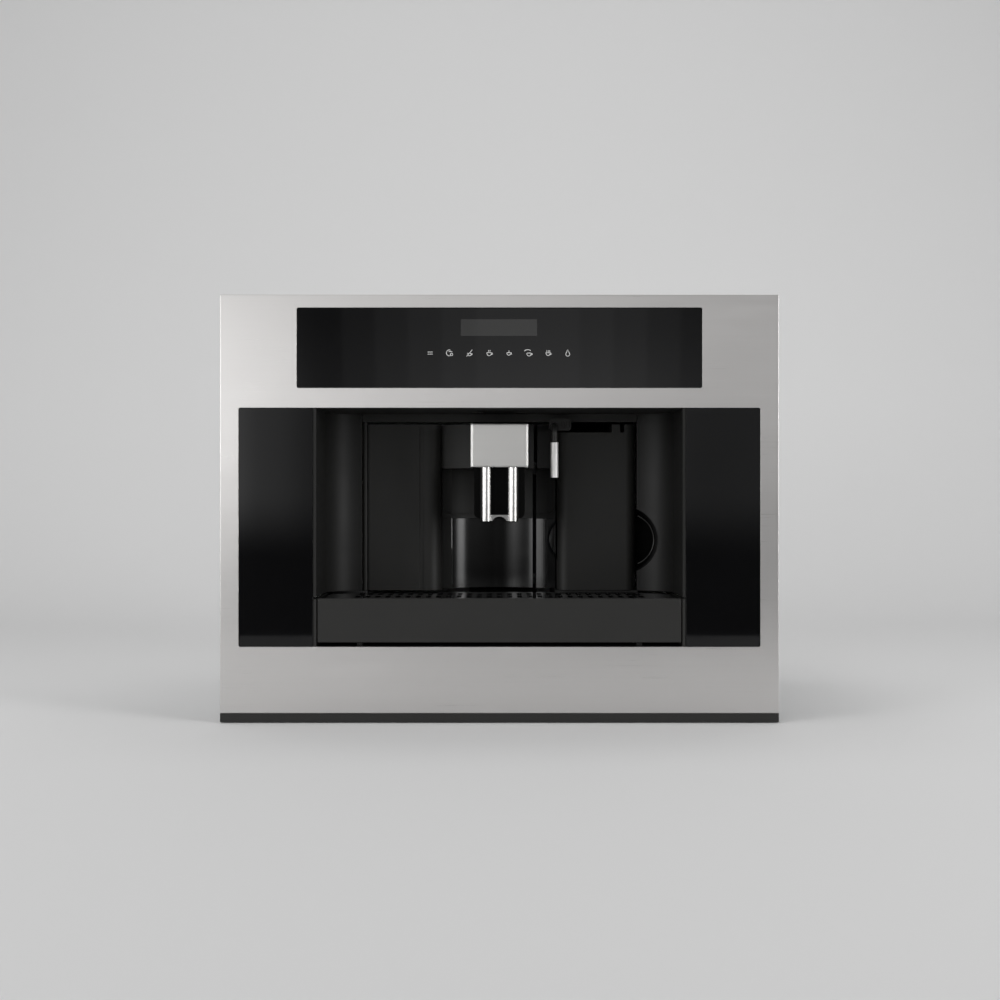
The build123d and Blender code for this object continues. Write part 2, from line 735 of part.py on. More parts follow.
# ---------------------------------------------------------------- service door
# hinge brackets: a plate with a pin below the door and one above it
bracket_x0 = hinge_x - 24.0
bracket_r = 3.2
low_bracket_z1 = wall_z0
with BuildPart() as door_hinges:
    with BuildSketch(Plane.XY.offset(bay_wall_z1)):
        area(-lip_half, hinge_x + bracket_r, at(hinge_depth - 5), at(hinge_depth + 14), 2)
    extrude(amount=low_bracket_z1 - bay_wall_z1)
    with BuildSketch(Plane.XY.offset(low_bracket_z1)):
        with Locations((hinge_x, at(hinge_depth))):
            Circle(pin_r)
    extrude(amount=pin_l)
    with BuildSketch(Plane.XY.offset(door_z1 + rest)):
        area(bracket_x0, hinge_x + bracket_r, at(recess_d + recess_t), at(hinge_depth + 14))
        with Locations((hinge_x, at(hinge_depth))):
            Circle(bracket_r)
    extrude(amount=2)
    with BuildSketch(Plane.XY.offset(door_z1 + rest)):
        with Locations((hinge_x, at(hinge_depth))):
            Circle(pin_r)
    extrude(amount=-pin_l)
    with BuildSketch(front_plane(recess_d + recess_t)):
        area(bracket_x0, -seam_half - 1, door_z1 - 24, door_z1 + rest + 2)
    extrude(amount=-2)
door_hinges.part.label = "door_hinges"
export_step(door_hinges.part, "parts/door_hinges.step")

# left column of the door, with its hinge barrel, shallow groove and rounded corner
with BuildPart() as door_panel:
    with BuildSketch(Plane.XY.offset(door_z0)):
        with BuildLine():
            Polyline((column_x0, at(recess_d)), (groove_x, at(recess_d)), (groove_x, at(recess_d + 1)),
                     (groove_x + groove_w, at(recess_d + 1)), (groove_x + groove_w, at(recess_d)),
                     (column_x1 - column_r, at(recess_d)))
            RadiusArc((column_x1 - column_r, at(recess_d)), (column_x1, at(recess_d + column_r)), -column_r)
            Polyline((column_x1, at(recess_d + column_r)), (column_x1, at(niche_depth + panel_t)),
                     (column_x1 - door_t, at(niche_depth + panel_t)), (column_x1 - door_t, at(recess_d + column_r)))
            RadiusArc((column_x1 - door_t, at(recess_d + column_r)),
                      (column_x1 - column_r, at(recess_d + door_t)), column_r - door_t)
            Polyline((column_x1 - column_r, at(recess_d + door_t)), (column_x0, at(recess_d + door_t)),
                     (column_x0, at(recess_d)))
        make_face()
    extrude(amount=door_h)
    # web and barrel of the hinge
    with BuildSketch(Plane.XY.offset(door_z0)):
        area(hinge_x, column_x0 + 1, at(recess_d + door_t), at(recess_d + door_t + 2))
        area(column_x0, column_x0 + 2, at(recess_d), at(recess_d + door_t + 2))
        with Locations((hinge_x, at(hinge_depth))):
            Circle(barrel_r)
    extrude(amount=door_h)
    for z, height in ((door_z0, pin_l + 1), (door_z1 - pin_l - 1, pin_l + 1)):
        with BuildSketch(Plane.XY.offset(z)):
            with Locations((hinge_x, at(hinge_depth))):
                Circle(pin_r + fit)
        extrude(amount=height, mode=Mode.SUBTRACT)
    # floor and roof of the column
    for z in (door_z0, door_z1 - panel_t):
        with BuildSketch(Plane.XY.offset(z)):
            area(column_x0 + 4, column_x1 - door_t, at(recess_d + door_t), at(niche_depth + panel_t))
            with Locations((column_x1 - column_r, at(recess_d + column_r))):
                Circle(column_r - door_t)
            area(column_x1 - column_r, column_x1 - door_t, at(recess_d + door_t), at(recess_d + column_r),
                 mode=Mode.SUBTRACT)
            with Locations((column_x1 - column_r, at(recess_d + column_r))):
                Circle(column_r - door_t)
        extrude(amount=panel_t)
door_panel.part.label = "door_panel"
export_step(door_panel.part, "parts/door_panel.step")

# matte rear wall of the niche on the door, upper length of the core and the collar
with BuildPart() as niche_back:
    with BuildSketch(Plane.XY.offset(shelf_z)):
        make_face(niche_outline(column_x1, door_edge))
    extrude(amount=cross_z0 - shelf_z)
    with BuildSketch(Plane.XY.offset(shelf_z)):
        make_face(shelf_outline(column_x1, door_edge))
        with Locations((0, at(core_middle))):
            Circle(core_r - panel_t, mode=Mode.SUBTRACT)
    extrude(amount=shelf_h)
    with BuildSketch(front_plane(shelf_end_depth)):
        make_face(shelf_end_outline(column_x1, 1))
    extrude(amount=-(niche_depth + panel_t - shelf_end_depth))
    with BuildSketch(Plane.XY.offset(door_z0)):
        area(column_x1, -core_edge - rest, at(niche_depth), at(niche_depth + panel_t))
    extrude(amount=shelf_z - door_z0)
niche_back.part.label = "niche_back"
export_step(niche_back.part, "parts/niche_back.step")

# glossy lower length of the core
with BuildPart() as niche_core:
    with BuildSketch(Plane.XY.offset(door_z0)):
        make_face(niche_outline(-core_edge, door_edge))
    extrude(amount=shelf_z - door_z0)
niche_core.part.label = "niche_core"
export_step(niche_core.part, "parts/niche_core.step")

# upper cross housing, bowed to the front, hollow and open at the back
with BuildPart() as cross_housing:
    with BuildSketch(Plane.XY.offset(cross_z0)):
        make_face(cross_outline(column_x1, door_edge, 0, niche_depth - 25))
    extrude(amount=door_z1 - cross_z0)
    with BuildSketch(Plane.XY.offset(cross_z0 + panel_t)):
        make_face(cross_outline(column_x1 + panel_t, door_edge - panel_t, panel_t, niche_depth))
    extrude(amount=door_z1 - cross_z0 - 2 * panel_t, mode=Mode.SUBTRACT)
    # foot that closes the niche over the core
    with BuildSketch(Plane.XY.offset(cross_z0)):
        area(column_x1, door_edge - 6, at(niche_depth - 26), at(niche_depth + panel_t))
    extrude(amount=panel_t)
cross_housing.part.label = "cross_housing"
export_step(cross_housing.part, "parts/cross_housing.step")

# satin metal cover of the spout, open below and behind
cover_half = cover_w / 2
cover_z1 = cover_z0 + cover_h
with BuildPart() as spout_cover:
    with BuildSketch(Plane.XY.offset(cover_z0)):
        with BuildLine():
            ThreePointArc((-cover_half, at(cross_front(cover_half))), (0, at(cross_front(0))),
                          (cover_half, at(cross_front(cover_half))))
            Polyline((cover_half, at(cross_front(cover_half))), (cover_half, at(cover_depth)),
                     (-cover_half, at(cover_depth)), (-cover_half, at(cross_front(cover_half))))
        make_face()
    extrude(amount=cover_h)
    fillet(spout_cover.edges().filter_by(Axis.Z).group_by(Axis.Y)[0], 2.0)
    with BuildSketch(Plane.XY.offset(cover_z0)):
        area(-cover_half + cover_t, cover_half - cover_t, at(cover_depth + cover_t), at(cross_side_depth))
    extrude(amount=cover_h - cover_t, mode=Mode.SUBTRACT)
    # guide rail that the spout rides on
    with BuildSketch(Plane.XY.offset(cover_z0)):
        area(-5, 5, at(cross_depth - 14), at(cross_depth))
        area(-9, 9, at(cross_depth - 14), at(cross_depth - 11))
    extrude(amount=cover_h)
spout_cover.part.label = "spout_cover"
export_step(spout_cover.part, "parts/spout_cover.step")

# ---------------------------------------------------------------- coffee spout
tube_x = tube_pitch / 2
tube_top = cover_z1 - cover_t - 6
bridge_h = 7.6
with BuildPart() as spout_tubes:
    with BuildSketch(Plane.XY.offset(tube_z0)):
        with Locations((-tube_x, at(tube_depth)), (tube_x, at(tube_depth))):
            Circle(tube_r)
    extrude(amount=tube_top - tube_z0)
    with BuildSketch(front_plane(tube_depth - tube_r * 0.5)):
        area(-tube_x, tube_x, tube_z0 + 1, tube_z0 + bridge_h)
        with Locations((0, tube_z0 - 3)):
            Circle(tube_x - tube_r, mode=Mode.SUBTRACT)
    extrude(amount=-tube_r)
    chamfer(spout_tubes.faces().sort_by(Axis.Z)[0:2].edges(), 0.8)
    with BuildSketch(Plane.XY.offset(tube_z0)):
        with Locations((-tube_x, at(tube_depth)), (tube_x, at(tube_depth))):
            Circle(spout_bore)
    extrude(amount=tube_top - tube_z0 - 4, mode=Mode.SUBTRACT)
spout_tubes.part.label = "spout_tubes"
export_step(spout_tubes.part, "parts/spout_tubes.step")

# black carrier: cheeks beside the tubes, a web behind them and a slot for the rail
core_z0 = tube_z0 + 4.0
carrier_back = cross_depth - 16.0
with BuildPart() as spout_core:
    with BuildSketch(front_plane(tube_depth - 1)):
        area(-core_w / 2, core_w / 2, core_z0, tube_top, 6)
    extrude(amount=-(carrier_back - tube_depth + 1))
    with BuildSketch(Plane.XY.offset(core_z0)):
        area(-core_w / 2 + 4, core_w / 2 - 4, at(tube_depth + tube_r + 8), at(carrier_back - 4), 3)
        area(-tube_x, tube_x, at(tube_depth - 2), at(tube_depth + tube_r))
        with Locations((-tube_x, at(tube_depth)), (tube_x, at(tube_depth))):
            Circle(tube_r + 0.02)
    extrude(amount=tube_top - core_z0, mode=Mode.SUBTRACT)
    # shoe that hooks behind the guide rail
    with BuildSketch(Plane.XY.offset(cover_z0 + 4)):
        area(-13, 13, at(carrier_back), at(cross_depth - 2))
        area(-9 - rest, 9 + rest, at(cross_depth - 14 - rest), at(cross_depth - 11 + rest), mode=Mode.SUBTRACT)
        area(-5 - rest, 5 + rest, at(cross_depth - 11), at(cross_depth), mode=Mode.SUBTRACT)
    extrude(amount=tube_top - cover_z0 - 4)
spout_core.part.label = "spout_core"
export_step(spout_core.part, "parts/spout_core.step")

# ---------------------------------------------------------------- grounds container inside the door
grounds_x0 = column_x0 + 6.0
grounds_x1 = column_x1 - 8.0
grounds_d0 = recess_d + 8.0
grounds_d1 = recess_d + 82.0
grounds_h = 150.0
grounds_t = 2.0
with BuildPart() as grounds_container:
    with BuildSketch(Plane.XY.offset(door_z0 + panel_t + rest)):
        area(grounds_x0 + 3, grounds_x1 - 3, at(grounds_d0 + 3), at(grounds_d1 - 6), 8)
    with BuildSketch(Plane.XY.offset(door_z0 + panel_t + rest + grounds_h)):
        area(grounds_x0, grounds_x1, at(grounds_d0), at(grounds_d1), 10)
    loft()
    offset(amount=-grounds_t, openings=grounds_container.faces().sort_by(Axis.Z)[-1])
grounds_container.part.label = "grounds_container"
export_step(grounds_container.part, "parts/grounds_container.step")

# ---------------------------------------------------------------- hot-water spout
elbow_r = 9.0
head_x1 = 81.0
with BuildPart() as hot_water_spout:
    with BuildLine() as hot_path:
        FilletPolyline((hot_x, at(cross_side_depth + 8), hot_z), (hot_x, at(hot_depth), hot_z),
                       (hot_x, at(hot_depth), sleeve_z0 + 6), radius=elbow_r)
    with BuildSketch(Plane(origin=hot_path.line @ 0, z_dir=hot_path.line % 0)):
        Circle(hot_r)
        Circle(hot_r - 1, mode=Mode.SUBTRACT)
    sweep()
    with BuildSketch(Plane.XY.offset(sleeve_z0)):
        with Locations((hot_x, at(hot_depth))):
            Circle(sleeve_r)
            Circle(hot_r - 1, mode=Mode.SUBTRACT)
    extrude(amount=sleeve_z1 - sleeve_z0)
hot_water_spout.part.label = "hot_water_spout"
export_step(hot_water_spout.part, "parts/hot_water_spout.step")

head_t = 5.0
with BuildPart() as hot_water_head:
    with BuildSketch(front_plane(hot_depth + elbow_r + 2)):
        area(hot_x - 5.5, head_x1, hot_z - head_t, hot_z + 8.5, 3)
    extrude(amount=-14)
    with BuildSketch(front_plane(hot_depth)):
        with Locations((hot_x, hot_z)):
            Circle(hot_r + 0.02)
    extrude(amount=-40, mode=Mode.SUBTRACT)
    with BuildSketch(front_plane(hot_depth + elbow_r + 2)):
        with Locations((hot_x + 13, hot_z + 2)):
            with GridLocations(3, 0, 4, 1):
                Rectangle(1, 8)
    extrude(amount=-1, mode=Mode.SUBTRACT)
hot_water_head.part.label = "hot_water_head"
export_step(hot_water_head.part, "parts/hot_water_head.step")

# ---------------------------------------------------------------- drip tray
tray_half = recess_half - tray_gap
basin_half = recess_half - 4.0
basin_front = 6.0
front_plate_t = 4.0
front_set = 2.0
basin_z1 = grid_z1 - grid_t - rest
grid_half = basin_half - 2.0
grid_x_r = cove_r - 6.0
deck_t = 2.5
with BuildPart() as drip_tray:
    with BuildSketch(Plane.XY.offset(tray_z0)):
        area(-basin_half, basin_half, at(basin_front), at(tray_d), 8)
    extrude(amount=basin_z1 - tray_z0)
    offset(amount=-tray_t, openings=drip_tray.faces().sort_by(Axis.Z)[-1])
    # ribs that carry the grid
    with BuildSketch(Plane.XY.offset(tray_z0 + tray_t)):
        for x in (-grid_half / 3, grid_half / 3):
            area(x - 1, x + 1, at(basin_front + tray_t), at(grid_d - 10))
    extrude(amount=basin_z1 - tray_z0 - tray_t)
drip_tray.part.label = "drip_tray"
export_step(drip_tray.part, "parts/drip_tray.step")

with BuildPart() as tray_front:
    with BuildSketch(front_plane(front_set)):
        area(-tray_half, tray_half, tray_z0, grid_z1, 1)
    extrude(amount=-front_plate_t)
    chamfer(tray_front.faces().sort_by(Axis.Y)[0].edges(), 0.6)
tray_front.part.label = "tray_front"
export_step(tray_front.part, "parts/tray_front.step")


def grid_outline(grow):
    """Plan of the cup grid: square to the front, rear corners rounded along the recess walls."""
    half = grid_half + grow
    front = at(front_set + front_plate_t + 0.5 - grow)
    rear = at(grid_d + grow)
    r = grid_x_r + grow
    mid = r * (1 - sqrt(0.5))
    with BuildLine() as outline:
        Polyline((-half, rear - r), (-half, front), (half, front), (half, rear - r))
        ThreePointArc((half, rear - r), (half - mid, rear - mid), (half - r, rear))
        Line((half - r, rear), (-half + r, rear))
        ThreePointArc((-half + r, rear), (-half + mid, rear - mid), (-half, rear - r))
    return outline.line.edges()


slot_rows = 2
slot_l = (grid_d - front_set - front_plate_t - 22) / slot_rows - 4
slot_count = int((2 * grid_half - 2 * grid_x_r + 14) / slot_pitch)
slot_mid = at((front_set + front_plate_t + grid_d) / 2)
with BuildPart() as drip_grid:
    with BuildSketch(Plane.XY.offset(grid_z1 - grid_t)):
        make_face(grid_outline(0))
    extrude(amount=grid_t)
    chamfer(drip_grid.faces().sort_by(Axis.Z)[-1].edges(), 0.8)
    with BuildSketch(Plane.XY.offset(grid_z1 - grid_t)):
        with Locations((0, slot_mid)):
            with GridLocations(slot_pitch, slot_l + 6, slot_count, slot_rows):
                SlotOverall(slot_l, slot_w, rotation=90)
    extrude(amount=grid_t, mode=Mode.SUBTRACT)
drip_grid.part.label = "drip_grid"
export_step(drip_grid.part, "parts/drip_grid.step")

# deck over the rear of the tray, cut to the grid's outline
with BuildPart() as tray_deck:
    with BuildSketch(Plane.XY.offset(basin_z1)):
        area(-basin_half, basin_half, at(grid_d - grid_x_r - 6), at(tray_d))
        make_face(grid_outline(1.5), mode=Mode.SUBTRACT)
        area(brew_x - 30, brew_x + 30, at(brew_depth0 + 14), at(tray_d - 12), 10, mode=Mode.SUBTRACT)
    extrude(amount=deck_z1 - basin_z1)
tray_deck.part.label = "tray_deck"
export_step(tray_deck.part, "parts/tray_deck.step")

# ---------------------------------------------------------------- water tank
tank_z0 = bay_floor_z1 + 0.5
tank_front = recess_d + fascia_d
fascia_t = 2.5
fascia_z1 = door_z1
with BuildPart() as tank_fascia:
    with BuildSketch(Plane.XY.offset(tank_z0)):
        area(tank_x0, tank_x1, at(recess_d), at(tank_front))
    extrude(amount=fascia_z1 - tank_z0)
    fillet(tank_fascia.edges().filter_by(Axis.Z).group_by(Axis.Y)[0], tank_r)
    with BuildSketch(front_plane(recess_d)):
        area(tank_x0, notch_x, notch_z, fascia_z1)
        area(tab_slot_x - tab_slot_w / 2, tab_slot_x + tab_slot_w / 2, notch_z, fascia_z1)
    extrude(amount=-fascia_d, mode=Mode.SUBTRACT)
    # hollow from behind, with a thick block left behind the thumb recess
    with BuildSketch(front_plane(tank_front)):
        area(tank_x0 + fascia_t, tank_x1 - fascia_t, tank_z0 + fascia_t, notch_z - fascia_t, 3)
    extrude(amount=fascia_d - fascia_t - 2, mode=Mode.SUBTRACT)
    with BuildSketch(side_plane(tank_x0 + fascia_t - 0.5)):
        with Locations((at(tank_front - thumb_r * 0.5), grip_z)):
            Circle(thumb_r + 2)
        area(at(tank_front), at(tank_front + 2 * thumb_r), 0, 2 * grip_z, mode=Mode.SUBTRACT)
        area(at(recess_d - 2 * thumb_r), at(recess_d + tank_r), 0, 2 * grip_z, mode=Mode.SUBTRACT)
    extrude(amount=thumb_cut)
    with BuildSketch(side_plane(tank_x0)):
        with Locations((at(tank_front - thumb_r * 0.5), grip_z)):
            Circle(thumb_r)
        area(at(recess_d - 2 * thumb_r), at(recess_d + tank_r + 2), 0, 2 * grip_z, mode=Mode.SUBTRACT)
    extrude(amount=thumb_cut - 1, taper=20, mode=Mode.SUBTRACT)
tank_fascia.part.label = "tank_fascia"
export_step(tank_fascia.part, "parts/tank_fascia.step")

with BuildPart() as water_tank:
    with BuildSketch(Plane.XY.offset(tank_z0)):
        area(tank_x0 + 1, tank_x1, at(tank_front), at(tank_back), 8)
    extrude(amount=tank_z1 - tank_z0)
    fillet(water_tank.faces().sort_by(Axis.Z)[0].edges(), 4)
    offset(amount=-tank_wall, openings=water_tank.faces().sort_by(Axis.Z)[-1])
    # outlet spigot
    with BuildSketch(front_plane(tank_back - tank_wall)):
        with Locations((coupling_x, coupling_z)):
            Circle(spigot_r)
    extrude(amount=-(tank_wall + 10))
    with BuildSketch(front_plane(tank_back - 2 * tank_wall)):
        with Locations((coupling_x, coupling_z)):
            Circle(spigot_r - 2)
    extrude(amount=-(2 * tank_wall + 10), mode=Mode.SUBTRACT)
water_tank.part.label = "water_tank"
export_step(water_tank.part, "parts/water_tank.step")

tank_lid_t = 2.0
with BuildPart() as tank_lid:
    with BuildSketch(Plane.XY.offset(tank_z1 + rest)):
        area(tank_x0 + 1, tank_x1, at(tank_front), at(tank_back), 8)
    extrude(amount=tank_lid_t)
    lid_in = tank_wall + rest
    with BuildSketch(Plane.XY.offset(tank_z1 + rest)):
        area(tank_x0 + 1 + lid_in, tank_x1 - lid_in, at(tank_front + lid_in), at(tank_back - lid_in), 5)
        area(tank_x0 + 3 + lid_in, tank_x1 - 2 - lid_in, at(tank_front + 2 + lid_in),
             at(tank_back - 2 - lid_in), 3, mode=Mode.SUBTRACT)
    extrude(amount=-6)
    # filling flap opening
    with BuildSketch(Plane.XY.offset(tank_z1 + rest)):
        with Locations((coupling_x, at(tank_front + 45))):
            RectangleRounded(40, 46, 8)
    extrude(amount=tank_lid_t, mode=Mode.SUBTRACT)
tank_lid.part.label = "tank_lid"
export_step(tank_lid.part, "parts/tank_lid.step")

# ---------------------------------------------------------------- brew unit
brew_x0 = brew_x - brew_w / 2
brew_x1 = brew_x + brew_w / 2
brew_back = brew_depth0 + brew_d
brew_z1 = brew_z0 + brew_h
plate_t = 8.0
cyl_y = at(brew_depth0 + 40)
cyl_wall = 4.0
cyl_h = brew_travel
screw_y = at(brew_back - plate_t - 20)
journal_r = screw_r - 1
with BuildPart() as brew_frame:
    with BuildSketch(front_plane(brew_back - plate_t)):
        area(brew_x0, brew_x1, casing_z0 + pan_t, brew_z1, 4)
        area(brew_x0 + 12, brew_x1 - 12, casing_z0 + 14, brew_z0 - 12, 6, mode=Mode.SUBTRACT)
    extrude(amount=-plate_t)
    for z in (brew_z0, brew_z1 - plate_t):
        with BuildSketch(Plane.XY.offset(z)):
            area(brew_x0, brew_x1, at(brew_depth0), at(brew_back - plate_t / 2), 6)
        extrude(amount=plate_t)
    with BuildSketch(Plane.XY.offset(brew_z1 - plate_t)):
        with Locations((brew_x, cyl_y)):
            Circle(brew_bore_r + cyl_wall)
    extrude(amount=-cyl_h)
    with BuildSketch(Plane.XY.offset(brew_z1 - plate_t)):
        with Locations((brew_x, cyl_y)):
            Circle(brew_bore_r)
    extrude(amount=-cyl_h, mode=Mode.SUBTRACT)
    # drain opening below the piston, and the lead screw's bearings
    with BuildSketch(Plane.XY.offset(brew_z0)):
        with Locations((brew_x, cyl_y)):
            Circle(brew_bore_r)
        with Locations((brew_x, screw_y)):
            Circle(journal_r + fit)
    extrude(amount=plate_t, mode=Mode.SUBTRACT)
    with BuildSketch(Plane.XY.offset(brew_z1 - plate_t)):
        with Locations((brew_x, screw_y)):
            Circle(journal_r + fit)
    extrude(amount=plate_t, mode=Mode.SUBTRACT)
brew_frame.part.label = "brew_frame"
export_step(brew_frame.part, "parts/brew_frame.step")

with BuildPart() as lead_screw:
    with BuildSketch(Plane.XY.offset(brew_z0 + plate_t + rest)):
        with Locations((brew_x, screw_y)):
            Circle(screw_r)
    extrude(amount=brew_h - 2 * plate_t - 2 * rest)
    with BuildSketch(Plane.XY.offset(brew_z0 + 1)):
        with Locations((brew_x, screw_y)):
            Circle(journal_r)
    extrude(amount=brew_h - 2)
    # driving gear wheel
    with BuildSketch(Plane.XY.offset(brew_z0 + plate_t + rest)):
        with Locations((brew_x, screw_y)):
            Circle(11)
            with PolarLocations(11.6, 18):
                Circle(1.1)
            with PolarLocations(7.6, 6):
                Circle(1.6, mode=Mode.SUBTRACT)
    extrude(amount=6)
lead_screw.part.label = "lead_screw"
export_step(lead_screw.part, "parts/lead_screw.step")

piston_z1 = brew_z1 - plate_t - cyl_h - 4
piston_play = 0.3
carrier_plate_z = piston_z1 - 14 - brew_travel + 4
with BuildPart() as brew_piston:
    with BuildSketch(Plane.XY.offset(piston_z1 - 14)):
        with Locations((brew_x, cyl_y)):
            Circle(brew_bore_r - piston_play)
    extrude(amount=14)
    with BuildSketch(Plane.XY.offset(piston_z1 - 7)):
        with Locations((brew_x, cyl_y)):
            Circle(brew_bore_r)
            Circle(brew_bore_r - 2, mode=Mode.SUBTRACT)
    extrude(amount=2.5, mode=Mode.SUBTRACT)
    with BuildSketch(Plane.XY.offset(carrier_plate_z)):
        with Locations((brew_x, cyl_y)):
            Circle(11)
    extrude(amount=piston_z1 - 14 - carrier_plate_z)
    with BuildSketch(Plane.XY.offset(carrier_plate_z)):
        area(brew_x - 18, brew_x + 18, cyl_y - 16, screw_y + 11, 8)
        with Locations((brew_x, screw_y)):
            Circle(screw_r + fit, mode=Mode.SUBTRACT)
    extrude(amount=10)
brew_piston.part.label = "brew_piston"
export_step(brew_piston.part, "parts/brew_piston.step")

motor_r = 17.0
motor_l = 52.0
motor_z = brew_z0 + 38
with BuildPart() as brew_motor:
    with BuildSketch(front_plane(brew_back)):
        area(brew_x - 24, brew_x + 24, brew_z0, motor_z + 26, 6)
    extrude(amount=-16)
    with BuildSketch(front_plane(brew_back + 16)):
        with Locations((brew_x, motor_z)):
            Circle(motor_r)
    extrude(amount=-motor_l)
    with BuildSketch(front_plane(brew_back + 16 + motor_l)):
        with Locations((brew_x, motor_z)):
            Circle(6)
    extrude(amount=-3)
brew_motor.part.label = "brew_motor"
export_step(brew_motor.part, "parts/brew_motor.step")

# ---------------------------------------------------------------- grinder and beans
grinder_y = hopper_y
grinder_z1 = grinder_z0 + grinder_h
burr_h = 20.0
with BuildPart() as grinder_housing:
    with BuildSketch(Plane.XY.offset(brew_z1)):
        with Locations((brew_x, grinder_y)):
            with PolarLocations(grinder_r - 12, 4, start_angle=45):
                Circle(5)
    extrude(amount=grinder_z0 - brew_z1)
    with BuildSketch(Plane.XY.offset(grinder_z0)):
        with Locations((brew_x, grinder_y)):
            Circle(grinder_r)
    extrude(amount=grinder_h * 0.55)
    with BuildSketch(Plane.XY.offset(grinder_z0 + grinder_h * 0.55)):
        with Locations((brew_x, grinder_y)):
            Circle(grinder_r - 5)
    extrude(amount=grinder_h * 0.45)
    with BuildSketch(Plane.XY.offset(grinder_z1 - burr_h - 6)):
        with Locations((brew_x, grinder_y)):
            Circle(burr_r + 6)
    extrude(amount=burr_h + 6, mode=Mode.SUBTRACT)
    with BuildSketch(Plane.XY.offset(grinder_z1 - burr_h - 18)):
        with Locations((brew_x, grinder_y)):
            Circle(journal_r + fit)
    extrude(amount=12, mode=Mode.SUBTRACT)
    # outlet to the brew unit
    with BuildSketch(front_plane(brew_depth0 + brew_d / 2 - grinder_r + 8)):
        with Locations((brew_x, grinder_z1 - burr_h)):
            RectangleRounded(22, 12, 3)
    extrude(amount=18)
    with BuildSketch(front_plane(brew_depth0 + brew_d / 2)):
        with Locations((brew_x, grinder_z1 - burr_h)):
            RectangleRounded(18, 8, 2)
    extrude(amount=grinder_r + 8, mode=Mode.SUBTRACT)
grinder_housing.part.label = "grinder_housing"
export_step(grinder_housing.part, "parts/grinder_housing.step")

with BuildPart() as cone_burr:
    with BuildSketch(Plane.XY.offset(grinder_z1 - burr_h - 5)):
        with Locations((brew_x, grinder_y)):
            Circle(burr_r)
    extrude(amount=burr_h, taper=22)
    with BuildSketch(Plane.XY.offset(grinder_z1 - burr_h - 5)):
        with Locations((brew_x, grinder_y)):
            with PolarLocations(burr_r - 1, 12):
                RectangleRounded(5, 3, 0.8, rotation=25)
    extrude(amount=burr_h - 6, mode=Mode.SUBTRACT)
    with BuildSketch(Plane.XY.offset(grinder_z1 - burr_h - 17)):
        with Locations((brew_x, grinder_y)):
            Circle(journal_r)
    extrude(amount=13)
cone_burr.part.label = "cone_burr"
export_step(cone_burr.part, "parts/cone_burr.step")

hopper_z1 = casing_z1 + 1.5
neck_r = 25.0
hopper_fit = 0.5
ear_x = lid_w / 2 - 8
ear_t = 4.0
lid_y0 = hopper_y - lid_l / 2
lid_y1 = hopper_y + lid_l / 2
lid_hinge_y = lid_y1 + 5.0
lid_hinge_z = casing_z1 + 4.4
lid_barrel_r = 2.6
with BuildPart() as bean_hopper:
    with BuildSketch(Plane.XY.offset(casing_z1)):
        with Locations((hopper_x, hopper_y)):
            RectangleRounded(hopper_w - 2 * hopper_fit, hopper_l - 2 * hopper_fit, 13)
    extrude(amount=-18)
    with BuildSketch(Plane.XY.offset(casing_z1 - 18)):
        with Locations((hopper_x, hopper_y)):
            RectangleRounded(hopper_w - 2 * hopper_fit, hopper_l - 2 * hopper_fit, 13)
    with BuildSketch(Plane.XY.offset(grinder_z1 + 10)):
        with Locations((hopper_x, hopper_y)):
            RectangleRounded(2 * neck_r + 4, 2 * neck_r + 4, 13)
    loft()
    with BuildSketch(Plane.XY.offset(grinder_z1)):
        with Locations((hopper_x, hopper_y)):
            RectangleRounded(2 * neck_r + 4, 2 * neck_r + 4, 13)
    extrude(amount=10)
    offset(amount=-hopper_t, openings=bean_hopper.faces().sort_by(Axis.Z)[-1])
    with BuildSketch(Plane.XY.offset(grinder_z1)):
        with Locations((hopper_x, hopper_y)):
            Circle(neck_r - 5)
    extrude(amount=hopper_t, mode=Mode.SUBTRACT)
    # flange on the cover and the ears of the lid's hinge
    with BuildSketch(Plane.XY.offset(casing_z1)):
        area(hopper_x - lid_w / 2, hopper_x + lid_w / 2, lid_y0, lid_hinge_y + 4, 6)
        with Locations((hopper_x, hopper_y)):
            RectangleRounded(hopper_w - 2 * hopper_fit - 2 * hopper_t, hopper_l - 2 * hopper_fit - 2 * hopper_t,
                             11, mode=Mode.SUBTRACT)
    extrude(amount=hopper_z1 - casing_z1)
    for side in (-1, 1):
        with BuildSketch(side_plane(hopper_x + side * ear_x)):
            area(lid_hinge_y - 3.5, lid_hinge_y + 3.5, hopper_z1 - 0.5, lid_hinge_z)
            with Locations((lid_hinge_y, lid_hinge_z)):
                Circle(3.5)
        extrude(amount=ear_t / 2, both=True)
        with BuildSketch(side_plane(hopper_x + side * ear_x)):
            with Locations((lid_hinge_y, lid_hinge_z)):
                Circle(pin_r)
        extrude(amount=-side * (ear_t / 2 + 6))
bean_hopper.part.label = "bean_hopper"
export_step(bean_hopper.part, "parts/bean_hopper.step")

